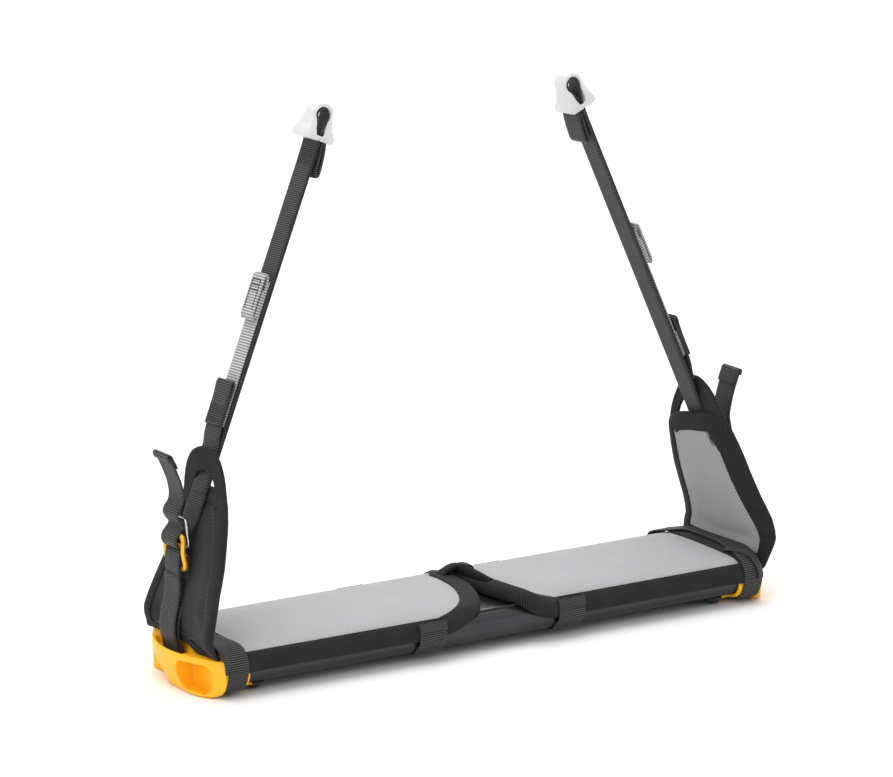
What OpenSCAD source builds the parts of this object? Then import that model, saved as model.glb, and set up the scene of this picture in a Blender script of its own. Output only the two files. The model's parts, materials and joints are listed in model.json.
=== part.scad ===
// Suspended work seat: hollow plate with end caps, padded halves, folding side wings and adjustable side straps.
// Axes: X along the seat, -Y towards the bullnose front, Z up.
// Origin: centre of the plate's underside. The left side is modelled and the right side mirrors it.

/* [Plate] */
// Length of the metal plate between the inner ends of the caps
plate_len = 464; // [440:2:480]
// Depth of the plate from front to back
plate_depth = 116; // [116:1:116]
// Thickness of the plate
plate_t = 22; // [22:1:22]
// Wall thickness of the hollow plate
plate_wall = 2.2; // [1.6:0.2:2.6]

/* [Pads] */
// Height of the pad tops above the underside of the plate
pad_top = 31.4; // [30:0.2:31.4]
// Distance from the centre to the outer end of each pad
pad_end = 240.5; // [236:0.5:240.5]

/* [Webbing] */
// Width of the side straps
web_w = 22; // [20:1:22]
// Thickness of the doubled main strap
strap_t = 3.6; // [3:0.2:3.6]
// Thickness of single webbing
web_t = 2.2; // [1.8:0.1:2.2]
// Thickness of the bands round plate and pads
band_t = 1.5; // [1.2:0.1:1.5]

/* [Side straps] */
// Angle that the main strap leans in from vertical
strap_lean = 23.1; // [22:0.1:23.1]
// Length of the main strap from wing hole to thimble
strap_len = 283; // [260:1:300]

/* [Wings] */
// Thickness of the side wings
wing_t = 8; // [6:0.5:8]
// Angle that the wings lean in from vertical
wing_lean = 11.9; // [11:0.1:12]

/* [Hidden] */
$fn = 48;
e = 0.01;
nose_r = plate_t / 2;
nose_y = plate_depth / 2 - nose_r;
y0 = 4.5;                 // plane of the straps
back_lean = 2.7;          // lean of the main straps towards the back
bar_x = -249.5;             // anchor bar in the cap
bar_z = 4;
bar_r = 3;
hinge_z = 33;             // where the anchor webbing bends at the mouth of the cap
hole_x = -228.4;          // foot of the main strap, at the hole in the wing
hole_z = 131;
buckle_x = -244.6;        // lower bar of the buckle
buckle_z = 82.6;
black = [0.13, 0.13, 0.14];
yellow = [1.0, 0.72, 0.05];
grey = [0.72, 0.72, 0.74];

// ---------- helpers ----------
// A (Y, Z) outline extruded along X from x1 to x2
module along_x(x1, x2) {
  translate([x1, 0, 0]) rotate([90, 0, 90]) linear_extrude(x2 - x1) children();
}
// An (X, Z) outline extruded along Y, centred on y
module along_y(y, w) {
  translate([0, y + w / 2, 0]) rotate([90, 0, 0]) linear_extrude(w) children();
}
module rounded_rect(w, h, r) {
  union() {
    square([w - 2 * r, h], center = true);
    square([w, h - 2 * r], center = true);
    for (sx = [-1, 1]) for (sy = [-1, 1]) translate([sx * (w / 2 - r), sy * (h / 2 - r)]) circle(r = r);
  }
}
// Outline of the plate, grown by g all round
module plate_outline(g = 0) {
  union() {
    translate([-nose_y, nose_r]) circle(r = nose_r + g);
    translate([nose_y, nose_r]) circle(r = nose_r + g);
    translate([-nose_y, -g]) square([2 * nose_y, plate_t + 2 * g]);
  }
}
// Outline of pad and plate together, grown by g
module padded_outline(g = 0) {
  union() {
    translate([-nose_y, nose_r]) circle(r = nose_r + 3.2 + g);
    polygon([[-nose_y - 14 - g, 12], [-nose_y - 12.4 - g, 22.4 + g * 0.4], [-nose_y - 7 - g * 0.7, 27.6 + g * 0.7], [-nose_y + 2, 29.6 + g],
      [-22, pad_top - 0.3 + g], [6, pad_top + g], [32, pad_top - 0.4 + g], [47, pad_top - 2.2 + g], [55 + g * 0.7, pad_top - 5.6 + g * 0.7],
      [58 + g, pad_top - 10], [50, 11]]);
    translate([nose_y, nose_r]) circle(r = nose_r + g);
    translate([-nose_y, -g]) square([2 * nose_y, plate_t + g]);
  }
}
module left_right(side) {
  if (side < 0) children(); else mirror([1, 0, 0]) children();
}
// Frame of the main strap: origin at the wing hole, local Z up the strap, local X towards the middle
module strap_frame() {
  translate([hole_x, y0, hole_z]) rotate([-back_lean, 0, 0]) rotate([0, strap_lean, 0]) children();
}

// ---------- plate ----------
module seat_plate() {
  color([0.30, 0.31, 0.33]) difference() {
    union() {
      along_x(-plate_len / 2, plate_len / 2) plate_outline();
      // shallow lips on top, behind the bullnose and at the back
      along_x(-plate_len / 2 + 16, plate_len / 2 - 16) translate([-nose_y - 1, plate_t - 1]) square([3, 2.2]);
    }
    // four long cells
    along_x(-plate_len / 2 - 1, plate_len / 2 + 1) {
      difference() {
        union() {
          translate([-nose_y, nose_r]) circle(r = nose_r - plate_wall);
          translate([nose_y, nose_r]) circle(r = nose_r - plate_wall);
          translate([-nose_y, plate_wall]) square([2 * nose_y, plate_t - 2 * plate_wall]);
        }
        for (y = [-36, 0, 36]) translate([y - plate_wall / 2, 0]) square([plate_wall, plate_t]);
      }
    }
    // rivet holes
    for (sx = [-1, 1]) for (y = [-42, 42]) translate([sx * 209, y, -1]) cylinder(r = 2.6, h = plate_wall + 2);
  }
}

// ---------- end caps ----------
module cap_plan() {
  intersection() {
    translate([-176, -6]) circle(r = 86, $fn = 96);
    translate([-263, -70]) square([20.6, 126]);
  }
}
module end_cap(side) {
  left_right(side) color(yellow) difference() {
    union() {
      intersection() {
        translate([0, 0, -7]) linear_extrude(29.5) cap_plan();
        along_x(-270, -230) union() {
          translate([-45, 10.5]) circle(r = 17.5);
          translate([-45, -7]) square([100, 29.5]);
          translate([-62.5, 10.5]) square([30, 12]);
        }
      }
      along_x(-244.5, -222) plate_outline(2.8);
      // tongue under the plate that the rivets hold
      translate([-222.5, -47, -2.8]) cube([9.5, 94, 2.6]);
      for (y = [-42, 42]) translate([-209, y, -2.8]) cylinder(r = 8, h = 2.6);
    }
    // socket for the plate
    along_x(-plate_len / 2 - 2, -205) plate_outline(0.15);
    // slot for the anchor webbing, open at the top
    translate([-255.1, y0 - 12.5, -3]) cube([11.2, 25, 40]);
    // bore for the anchor bar
    translate([bar_x, y0, bar_z]) rotate([90, 0, 0]) cylinder(r = bar_r + 0.02, h = 37, center = true);
    // tool pocket in the outer front corner
    translate([-270, 0, 6.3]) rotate([90, 0, 90]) linear_extrude(25.5) translate([-33, 0]) rounded_rect(33, 21.5, 6);
    // drain hole in the floor of the pocket
    translate([-250, -42, -8]) cylinder(r = 2, h = 6);
    // rivet holes
    for (y = [-42, 42]) translate([-209, y, -5]) cylinder(r = 2.6, h = 8);
  }
}
module end_cap_left() { end_cap(-1); }
module end_cap_right() { end_cap(1); }

module anchor_bar(side) {
  left_right(side) color([0.7, 0.7, 0.72]) translate([bar_x, y0, bar_z]) rotate([90, 0, 0]) cylinder(r = bar_r, h = 36.6, center = true);
}
module anchor_bar_left() { anchor_bar(-1); }
module anchor_bar_right() { anchor_bar(1); }

module cap_rivets() {
  color([0.12, 0.12, 0.13]) for (sx = [-1, 1]) for (y = [-42, 42]) translate([sx * 209, y, 0]) {
    translate([0, 0, -3]) cylinder(r = 2.5, h = plate_wall + 3.2);
    // domed head below, upset flange inside
    translate([0, 0, -2.9]) intersection() {
      translate([0, 0, 3.3]) sphere(r = 7.4, $fn = 48);
      translate([0, 0, -6]) cylinder(r = 6.2, h = 6);
    }
    translate([0, 0, plate_wall + 0.1]) cylinder(r = 4, h = 1.4);
  }
}

// ---------- pads ----------
module pad_body(x1, x2) {
  difference() {
    along_x(x1, x2) difference() {
      padded_outline();
      plate_outline(0.2);
      translate([-nose_y - 2, plate_t - 1.5]) square([5, 3]);
      translate([-100, -20]) square([200, 33]);
      translate([nose_y + 9.2, 0]) square([20, 40]);
    }
    for (sx = [-1, 1]) along_x(sx < 0 ? -260 : 221.7, sx < 0 ? -221.7 : 260) plate_outline(3.1);
  }
}
module seat_pad_left() {
  color(grey) intersection() {
    pad_body(-pad_end, 12);
    linear_extrude(60) union() {
      translate([-260, -80]) square([226, 160]);
      translate([-35, -36]) square([44, 116]);
      translate([-34, -33]) circle(r = 37);
      translate([-15, -14]) circle(r = 24.5);
    }
  }
}
module seat_pad_right() {
  color(grey) intersection() {
    pad_body(10, pad_end);
    linear_extrude(60) polygon([[13.5, 80], [13.5, -12], [16, -28], [20, -46], [25, -64], [28, -80], [260, -80], [260, 80]]);
  }
}
// Loop and tab that join the two pads
module pad_loop() {
  color(black) translate([12, 26, pad_top + 2.7]) union() {
    rotate_extrude() translate([8.5, 0]) circle(r = 2.4);
    translate([5, -9, -2.2]) rotate([0, 0, -32]) cube([26, 9, 3.6]);
  }
}

// ---------- bands ----------
// Each middle band starts on the pad's front edge, passes under the plate and ends on the pad's back edge
module mid_band(side) {
  left_right(side) color(black) along_x(-75, -51) difference() {
    padded_outline(0.25 + band_t);
    padded_outline(0.25);
    translate([-54, 20]) square([130, 30]);
    translate([-90, 27.5]) square([60, 20]);
  }
}
module mid_band_left() { mid_band(-1); }
module mid_band_right() { mid_band(1); }
// The end bands go round the cap's sleeve, so their lower run is further out
module end_outline(g) {
  union() { padded_outline(g); plate_outline(2.8 + g); }
}
module end_band(side) {
  left_right(side) color(black) along_x(-242, -225) difference() { end_outline(0.25 + band_t); end_outline(0.25); }
}
module end_band_left() { end_band(-1); }
module end_band_right() { end_band(1); }

// ---------- anchor webbing ----------
// Lower part: loop round the bar, inside the slot of the cap
module anchor_loop(side) {
  left_right(side) color(black) along_y(y0, web_w) difference() {
    union() {
      translate([bar_x, bar_z]) circle(r = bar_r + web_t + 0.1);
      translate([bar_x - web_t - 0.2, bar_z]) square([2 * web_t + 0.4, hinge_z - bar_z - 2.9]);
    }
    translate([bar_x, bar_z]) circle(r = bar_r + 0.1);
  }
}
module anchor_loop_left() { anchor_loop(-1); }
module anchor_loop_right() { anchor_loop(1); }
// Upper part: from the mouth of the cap to the lower bar of the buckle, folded back and sewn
module anchor_strap(side) {
  left_right(side) color(black) along_y(y0, web_w) difference() {
    union() {
      polygon([[-253.6, hinge_z], [-248.6, hinge_z], [-249, 48], [-243.8, 66], [-241.8, 79], [-241.6, 82.6], [-247.6, 82.6],
        [-247.6, 76], [-249.4, 64], [-253.8, 50], [-254.6, 40]]);
      translate([buckle_x, buckle_z]) circle(r = 4.2);
      // round foot on the fold line
      translate([-251.1, hinge_z]) circle(r = 2.5);
    }
    translate([buckle_x, buckle_z]) circle(r = 2.05);
  }
}
module anchor_strap_left() { anchor_strap(-1); }
module anchor_strap_right() { anchor_strap(1); }

// ---------- wings ----------
// Outline in the wing's own plane: across the seat's depth, and up from its lower edge
module wing_outline() {
  polygon([[-50, 3.4], [-57, 5.4], [-60, 11], [-59, 20], [-54, 42], [-48, 62], [-42, 80], [-37, 98], [-31, 112], [-24, 122], [-17, 129],
    [-10.5, 131], [-10.5, 100.5], [17.6, 100.5], [17.6, 126], [21, 123], [24, 117], [26, 108], [28, 90], [30, 68], [35, 45], [43, 25],
    [48, 12], [47, 6], [41, 3.4]]);
}
module wing(side) {
  left_right(side) color([0.45, 0.45, 0.47]) translate([-243.2, y0, 35.2]) rotate([0, 0, -8]) rotate([0, wing_lean, 0])
    rotate([90, 0, 90]) translate([0, 0, -wing_t / 2]) linear_extrude(wing_t) wing_outline();
}
module wing_left() { wing(-1); }
module wing_right() { wing(1); }
// Strip over the top of the wing, which the strap runs under
module wing_loop(side) {
  left_right(side) color(black) strap_frame() translate([-7.6, 0, 0]) rotate([90, 0, 90]) linear_extrude(3) difference() {
    polygon([[-27, -14], [-25, 4], [-23, 20], [-20, 30], [-14, 36], [-7, 37.5], [0, 36], [8, 32], [15, 26], [20, 17], [22, 4], [22, -14]]);
    polygon([[-14, -15], [-13.4, 6], [-11.5, 18], [-6, 24], [3, 21], [9, 15], [12.4, 5], [12.6, -15]]);
  }
}
module wing_loop_left() { wing_loop(-1); }
module wing_loop_right() { wing_loop(1); }

// ---------- buckle ----------
module buckle_frame(side) {
  left_right(side) color(yellow) translate([buckle_x, y0, buckle_z]) rotate([0, -5, 0]) {
    // ladder frame in its own plane: side rods and three bars
    difference() {
      translate([-1.9, 0, 10.8]) rotate([90, 0, 90]) linear_extrude(3.8) difference() {
        rounded_rect(30, 28, 4);
        translate([0, -6.6]) rounded_rect(23.4, 7.2, 1);
        translate([0, 1.6]) rounded_rect(23.4, 5.2, 1);
        translate([0, 8.6]) rounded_rect(23.4, 4.6, 1);
      }
      // clear the seat of the round lower bar
      translate([0, 0, 0]) rotate([90, 0, 0]) cylinder(r = 4.6, h = 23.4, center = true);
    }
    rotate([90, 0, 0]) cylinder(r = 2, h = 26, center = true);
  }
}
module buckle_frame_left() { buckle_frame(-1); }
module buckle_frame_right() { buckle_frame(1); }

// Strap below the wing hole, down to the top of the buckle
module strap_strand(side) {
  left_right(side) color(black) along_y(y0, web_w)
    polygon([[-233.6, 132], [-231.2, 132], [-232.6, 126], [-235.4, 118], [-238.4, 112.4], [-240.6, 113.6], [-237.8, 119], [-235, 127]]);
}
module strap_strand_left() { strap_strand(-1); }
module strap_strand_right() { strap_strand(1); }

// Free end: curl over the bars, second bump and the folded tip
module strap_tail(side) {
  left_right(side) color(black) along_y(y0, web_w)
    polygon([[-243.2, 108.2], [-249.2, 97.5], [-252.6, 99], [-254.2, 103], [-253, 107.5], [-249.5, 111.5], [-248.2, 114.6], [-252, 119.4],
      [-251.8, 125], [-247.6, 131.5], [-247.8, 138], [-251.6, 150], [-257.6, 163], [-260.6, 169.6], [-257.4, 171.8], [-253.8, 170.4],
      [-249.8, 161], [-247.4, 150], [-244.6, 139], [-244, 131], [-246.2, 125.4], [-247.4, 121.6], [-244.6, 117.6], [-243.4, 113]]);
}
module strap_tail_left() { strap_tail(-1); }
module strap_tail_right() { strap_tail(1); }

// ---------- main strap ----------
// Eye outline round the thimble's hole, in the strap's own plane
module eye_outline(g) {
  union() {
    translate([-1.5, strap_len + 17]) circle(r = 5.7 + g);
    polygon([[-1.5 - 5.7 - g, strap_len + 17], [-1.5 + 5.7 + g, strap_len + 17], [-0.6 + g, strap_len + 4 - g * 1.2], [-2.4 - g, strap_len + 4 - g * 1.2]]);
  }
}
module main_strap(side) {
  left_right(side) color(black) strap_frame() along_y(0, web_w) union() {
    translate([-strap_t / 2, 6]) square([strap_t, strap_len - 3]);
    // end sewn back on the inner side
    translate([strap_t / 2 - e, strap_len - 30]) square([2.6, 30]);
    translate([strap_t / 2 + 1.2, strap_len - 30]) circle(r = 2.6);
    difference() { eye_outline(1.9); eye_outline(0); }
  }
}
module main_strap_left() { main_strap(-1); }
module main_strap_right() { main_strap(1); }

// Keeper sewn to the strap, with the pale strap running under it
module keeper(side) {
  left_right(side) color(black) strap_frame() along_y(0, web_w + 0.01) union() {
    translate([-6.1, 48]) square([2.2, 42]);
    translate([-5.3, 89.5]) circle(r = 1.7);
    translate([-4.2, 38]) square([2.3, 6]);
    polygon([[-1.9, 38], [-4.2, 38], [-6.1, 49], [-3.9, 49], [-1.9, 44]]);
  }
}
module keeper_left() { keeper(-1); }
module keeper_right() { keeper(1); }

// Pale webbing with its folded block above the keeper and its doubled lower end
module pale_strap(side) {
  left_right(side) color([0.82, 0.82, 0.83]) strap_frame() translate([0, 0, 0]) along_y(-0.5, 17) union() {
    translate([-3.5, 56]) square([1.4, 116]);
    translate([-8.6, 140]) square([6.4, 33]);
    translate([-5.4, 172]) circle(r = 3.2);
  }
}
module pale_strap_left() { pale_strap(-1); }
module pale_strap_right() { pale_strap(1); }

// ---------- thimble ----------
module thimble(side) {
  left_right(side) color([0.93, 0.93, 0.94]) strap_frame() difference() {
    along_y(0, 25) difference() {
      union() {
        translate([-1.5, strap_len + 17.5]) circle(r = 9.3);
        polygon([[-10.8, strap_len + 17.5], [7.8, strap_len + 17.5], [8.4, strap_len + 8], [11.6, strap_len + 3], [11.8, strap_len - 1],
          [9.6, strap_len - 2.4], [-10.6, strap_len - 2.4], [-13, strap_len - 1], [-12.8, strap_len + 3], [-11, strap_len + 8]]);
      }
      eye_outline(1.95);
    }
    // passage for the strap below the eye
    translate([-2.2, -web_w / 2 - 0.2, strap_len - 5]) cube([6.9, web_w + 0.4, 10]);
  }
}
module thimble_left() { thimble(-1); }
module thimble_right() { thimble(1); }

seat_plate();
end_cap_left();
end_cap_right();
anchor_bar_left();
anchor_bar_right();
cap_rivets();
seat_pad_left();
seat_pad_right();
pad_loop();
mid_band_left();
mid_band_right();
end_band_left();
end_band_right();
anchor_loop_left();
anchor_loop_right();
anchor_strap_left();
anchor_strap_right();
wing_left();
wing_right();
wing_loop_left();
wing_loop_right();
strap_strand_left();
strap_strand_right();
buckle_frame_left();
buckle_frame_right();
strap_tail_left();
strap_tail_right();
main_strap_left();
main_strap_right();
keeper_left();
keeper_right();
pale_strap_left();
pale_strap_right();
thimble_left();
thimble_right();
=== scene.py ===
import bpy, bmesh, math, random, json
from math import sin, cos, pi, radians, sqrt
from mathutils import Vector, Matrix

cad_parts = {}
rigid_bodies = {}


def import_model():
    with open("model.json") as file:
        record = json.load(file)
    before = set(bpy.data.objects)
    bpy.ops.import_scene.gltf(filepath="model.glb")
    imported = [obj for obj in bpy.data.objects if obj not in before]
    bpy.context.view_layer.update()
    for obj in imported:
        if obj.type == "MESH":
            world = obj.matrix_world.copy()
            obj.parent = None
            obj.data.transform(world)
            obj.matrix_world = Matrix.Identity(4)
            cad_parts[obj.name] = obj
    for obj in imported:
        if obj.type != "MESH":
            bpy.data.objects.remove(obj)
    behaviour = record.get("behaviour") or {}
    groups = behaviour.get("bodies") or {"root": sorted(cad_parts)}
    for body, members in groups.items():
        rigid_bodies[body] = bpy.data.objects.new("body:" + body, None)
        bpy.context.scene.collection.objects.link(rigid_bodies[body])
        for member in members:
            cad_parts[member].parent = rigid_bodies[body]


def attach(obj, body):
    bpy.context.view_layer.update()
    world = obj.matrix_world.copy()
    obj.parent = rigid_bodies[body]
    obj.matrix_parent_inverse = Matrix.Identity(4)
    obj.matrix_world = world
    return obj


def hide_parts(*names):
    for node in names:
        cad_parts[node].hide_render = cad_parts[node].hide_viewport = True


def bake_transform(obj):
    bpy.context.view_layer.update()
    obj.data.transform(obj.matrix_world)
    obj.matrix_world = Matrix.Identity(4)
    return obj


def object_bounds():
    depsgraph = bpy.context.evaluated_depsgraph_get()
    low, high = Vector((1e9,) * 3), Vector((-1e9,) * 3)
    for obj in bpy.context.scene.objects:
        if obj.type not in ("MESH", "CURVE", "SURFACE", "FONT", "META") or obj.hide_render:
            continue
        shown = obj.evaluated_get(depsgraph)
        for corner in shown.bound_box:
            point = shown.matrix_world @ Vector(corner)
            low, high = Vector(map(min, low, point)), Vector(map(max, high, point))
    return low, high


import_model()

BOX0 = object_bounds()
bpy.context.scene.view_settings.view_transform = "Standard"
random.seed(7)
V = Vector
SIDES = (("left", 1), ("right", -1))      # second value multiplies X of coordinates given for the left side


# ------------------------------------------------------------------ small helpers
def sm(t):
    t = max(0.0, min(1.0, t))
    return t * t * (3 - 2 * t)


def lerp(a, b, t):
    return a + (b - a) * t


def table(rows, z):
    """Linear read of rows (key, values...) sorted by key."""
    if z <= rows[0][0]:
        return rows[0][1:]
    for a, b in zip(rows, rows[1:]):
        if z <= b[0]:
            t = (z - a[0]) / (b[0] - a[0])
            return tuple(lerp(p, q, t) for p, q in zip(a[1:], b[1:]))
    return rows[-1][1:]


def catmull(pts, sub=12, closed=False):
    pts = [V(p) for p in pts]
    n = len(pts)
    out = []
    segs = n if closed else n - 1
    for i in range(segs):
        p1, p2 = pts[i], pts[(i + 1) % n]
        p0 = pts[i - 1] if (closed or i > 0) else p1 * 2 - p2
        p3 = pts[(i + 2) % n] if (closed or i + 2 < n) else p2 * 2 - p1
        t0 = 0.0
        t1 = t0 + max(1e-4, (p1 - p0).length) ** 0.5
        t2 = t1 + max(1e-4, (p2 - p1).length) ** 0.5
        t3 = t2 + max(1e-4, (p3 - p2).length) ** 0.5
        for k in range(sub):
            t = t1 + (t2 - t1) * k / sub
            a1 = p0 * ((t1 - t) / (t1 - t0)) + p1 * ((t - t0) / (t1 - t0))
            a2 = p1 * ((t2 - t) / (t2 - t1)) + p2 * ((t - t1) / (t2 - t1))
            a3 = p2 * ((t3 - t) / (t3 - t2)) + p3 * ((t - t2) / (t3 - t2))
            b1 = a1 * ((t2 - t) / (t2 - t0)) + a2 * ((t - t0) / (t2 - t0))
            b2 = a2 * ((t3 - t) / (t3 - t1)) + a3 * ((t - t1) / (t3 - t1))
            out.append(b1 * ((t2 - t) / (t2 - t1)) + b2 * ((t - t1) / (t2 - t1)))
    if not closed:
        out.append(pts[-1].copy())
    return out


def resample(pts, step, closed=False):
    """Equal steps along a polyline; returns points and the source parameter 0..1 of each."""
    p = list(pts) + ([pts[0]] if closed else [])
    acc = [0.0]
    for a, b in zip(p, p[1:]):
        acc.append(acc[-1] + (b - a).length)
    total = acc[-1]
    n = max(4, int(round(total / step)))
    out, par, j = [], [], 0
    for i in range(n if closed else n + 1):
        s = total * i / n
        while j < len(acc) - 2 and acc[j + 1] < s:
            j += 1
        t = (s - acc[j]) / max(1e-9, acc[j + 1] - acc[j])
        out.append(p[j].lerp(p[j + 1], t))
        par.append(s / total)
    return out, par, total


def make(name, verts, faces, mats, uvs=None, fmat=None, smooth=True, recalc=True):
    """verts in mm; uvs per vertex in mm."""
    me = bpy.data.meshes.new(name)
    me.from_pydata([(v[0] * .001, v[1] * .001, v[2] * .001) for v in verts], [], faces)
    if uvs is not None:
        lay = me.uv_layers.new(name="UVMap")
        for lp in me.loops:
            u = uvs[lp.vertex_index]
            lay.data[lp.index].uv = (u[0] * .001, u[1] * .001)
    if not isinstance(mats, (list, tuple)):
        mats = [mats]
    for m in mats:
        me.materials.append(m)
    if fmat:
        for p, k in zip(me.polygons, fmat):
            p.material_index = k
    if recalc:
        bm = bmesh.new()
        bm.from_mesh(me)
        bmesh.ops.recalc_face_normals(bm, faces=bm.faces)
        bm.to_mesh(me)
        bm.free()
    for p in me.polygons:
        p.use_smooth = smooth
    ob = bpy.data.objects.new(name, me)
    bpy.context.scene.collection.objects.link(ob)
    return ob


def put(ob, body, slot, *nodes):
    if body:
        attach(ob, body)
    if nodes:
        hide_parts(*nodes)
    return ob


def frames_along(pts, wdir, closed=False, wdirs=None):
    n = len(pts)
    out = []
    for i, p in enumerate(pts):
        a = pts[i - 1] if (closed or i > 0) else pts[i]
        b = pts[(i + 1) % n] if (closed or i < n - 1) else pts[i]
        T = (b - a).normalized()
        w = wdirs[i] if wdirs else wdir
        W = (w - T * w.dot(T)).normalized()
        out.append((T, W, T.cross(W)))
    return out


def strip(name, ctrl, wdir, width, thick, mat, rib=0.13, pitch=1.65, step=0.42, closed=False, widths=None,
          thicks=None, n=8, sub=12, wdirs=None, fray=0.0, edge=0.0):
    """A flat woven strap swept along a smooth curve, with real ribs and smooth selvages."""
    dense = catmull(ctrl, sub, closed)
    pts, par, total = resample(dense, step, closed)
    m = len(ctrl)
    wd = None
    if wdirs:
        wd = []
        for t in par:
            x = t * (m if closed else m - 1)
            i = min(int(x), m - 2) if not closed else int(x) % m
            wd.append(V(wdirs[i]).lerp(V(wdirs[(i + 1) % m]), x - int(x)).normalized())
    fr = frames_along(pts, V(wdir) if wdir else None, closed, wd)

    def prof(tab, t, base):
        return table(tab, t)[0] if tab else base
    verts, uvs, faces = [], [], []
    ring = None
    for i, (p, (T, W, N)) in enumerate(zip(pts, fr)):
        w = prof(widths, par[i], width)
        th = prof(thicks, par[i], thick)
        r = th * 0.5
        s = par[i] * total
        a = rib * cos(2 * pi * s / pitch)
        sec = []
        for k in range(n + 1):
            v = -(w / 2 - r) + (w - 2 * r) * k / n
            sec.append((v, th / 2, 1.0 if 0 < k < n else 0.15))
        for ang in (50, 0, -50):
            sec.append((w / 2 - r + r * cos(radians(ang)), r * sin(radians(ang)), 0))
        for k in range(n + 1):
            v = (w / 2 - r) - (w - 2 * r) * k / n
            sec.append((v, -th / 2, -1.0 if 0 < k < n else -0.15))
        for ang in (-50, 0, 50):
            sec.append((-(w / 2 - r) - r * cos(radians(ang)), r * sin(radians(ang)), 0))
        ring = len(sec)
        for v, h, k in sec:
            e = edge * sin(2 * pi * s / pitch) if abs(v) > w / 2 - r else 0
            verts.append(p + W * (v + (e if v > 0 else -e)) + N * (h + a * k))
            uvs.append((s, v if h >= 0 else v + 60))
    R = len(pts)
    for i in range(R if closed else R - 1):
        for k in range(ring):
            a, b = i * ring + k, i * ring + (k + 1) % ring
            j = (i + 1) % R
            faces.append((a, b, j * ring + (k + 1) % ring, j * ring + k))
    if not closed:
        for base in (0, (R - 1) * ring):
            nn = n + 1
            # end faces as strips across the thickness
            top = [base + k for k in range(nn)]
            bot = [base + nn + 3 + (nn - 1 - k) for k in range(nn)]
            for k in range(nn - 1):
                faces.append((top[k], top[k + 1], bot[k + 1], bot[k]))
            r1 = [base + nn - 1, base + nn, base + nn + 1, base + nn + 2, base + nn + 3]
            faces.append(tuple(r1))
            l1 = [base + 2 * nn + 2, base + 2 * nn + 3, base + 2 * nn + 4, base + 2 * nn + 5, base]
            faces.append(tuple(l1))
    ob = make(name, verts, faces, mat, uvs)
    return ob


def tube(name, ctrl, r, mat, step=1.0, seg=14, closed=False, radii=None, flat=1.0, up=(0, 0, 1)):
    dense = catmull(ctrl, 10, closed)
    pts, par, total = resample(dense, step, closed)
    fr = frames_along(pts, V(up), closed)
    verts, uvs, faces = [], [], []
    for i, (p, (T, W, N)) in enumerate(zip(pts, fr)):
        rr = table(radii, par[i])[0] if radii else r
        for k in range(seg):
            a = 2 * pi * k / seg
            verts.append(p + W * (cos(a) * rr) + N * (sin(a) * rr * flat))
            uvs.append((par[i] * total, a * rr))
    R = len(pts)
    for i in range(R if closed else R - 1):
        for k in range(seg):
            j = (i + 1) % R
            faces.append((i * seg + k, i * seg + (k + 1) % seg, j * seg + (k + 1) % seg, j * seg + k))
    if not closed:
        for base, q, T in ((0, pts[0], -fr[0][0]), ((R - 1) * seg, pts[-1], fr[-1][0])):
            rr = (table(radii, 0 if base == 0 else 1)[0] if radii else r)
            c = len(verts)
            for k in range(seg):
                a = 2 * pi * k / seg
                W, N = fr[0 if base == 0 else -1][1:]
                verts.append(q + T * rr * 0.5 + W * (cos(a) * rr * .72) + N * (sin(a) * rr * flat * .72))
                uvs.append((0, a * rr))
            verts.append(q + T * rr * 0.72)
            uvs.append((0, 0))
            for k in range(seg):
                faces.append((base + k, base + (k + 1) % seg, c + (k + 1) % seg, c + k))
                faces.append((c + k, c + (k + 1) % seg, c + seg))
    return make(name, verts, faces, mat, uvs)


def join(name, obs):
    """Several meshes become one piece."""
    base = obs[0]
    mats = list(base.data.materials)
    bm = bmesh.new()
    for o in obs:
        remap = []
        for m in o.data.materials:
            if m not in mats:
                mats.append(m)
            remap.append(mats.index(m))
        k = len(bm.faces)
        bm.from_mesh(o.data)
        bm.faces.ensure_lookup_table()
        for f in bm.faces[k:]:
            f.material_index = remap[f.material_index] if remap else 0
    me = bpy.data.meshes.new(name)
    bm.to_mesh(me)
    bm.free()
    for m in mats:
        me.materials.append(m)
    for o in obs:
        bpy.data.objects.remove(o)
    ob = bpy.data.objects.new(name, me)
    bpy.context.scene.collection.objects.link(ob)
    return ob


# ------------------------------------------------------------------ materials
def material(name):
    m = bpy.data.materials.new(name)
    m.use_nodes = True
    nt = m.node_tree
    nt.nodes.clear()
    out = nt.nodes.new("ShaderNodeOutputMaterial")
    b = nt.nodes.new("ShaderNodeBsdfPrincipled")
    nt.links.new(b.outputs[0], out.inputs[0])
    return m, nt, b


def mth(nt, op, a, b=None, c=None):
    n = nt.nodes.new("ShaderNodeMath")
    n.operation = op
    for i, x in enumerate((a, b, c)):
        if x is None:
            continue
        if isinstance(x, (int, float)):
            n.inputs[i].default_value = x
        else:
            nt.links.new(x, n.inputs[i])
    return n.outputs[0]


def coords(nt, kind="UV", scale=1000.0, rot=0.0):
    tc = nt.nodes.new("ShaderNodeTexCoord")
    mp = nt.nodes.new("ShaderNodeMapping")
    mp.inputs["Scale"].default_value = (scale,) * 3
    mp.inputs["Rotation"].default_value = (0, 0, rot)
    nt.links.new(tc.outputs[kind], mp.inputs[0])
    sp = nt.nodes.new("ShaderNodeSeparateXYZ")
    nt.links.new(mp.outputs[0], sp.inputs[0])
    return mp.outputs[0], sp.outputs[0], sp.outputs[1], sp.outputs[2]


def noise(nt, vec, scale, detail=3, rough=0.5):
    n = nt.nodes.new("ShaderNodeTexNoise")
    n.inputs["Scale"].default_value = scale
    n.inputs["Detail"].default_value = detail
    n.inputs["Roughness"].default_value = rough
    nt.links.new(vec, n.inputs["Vector"])
    return n.outputs["Fac"]


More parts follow.
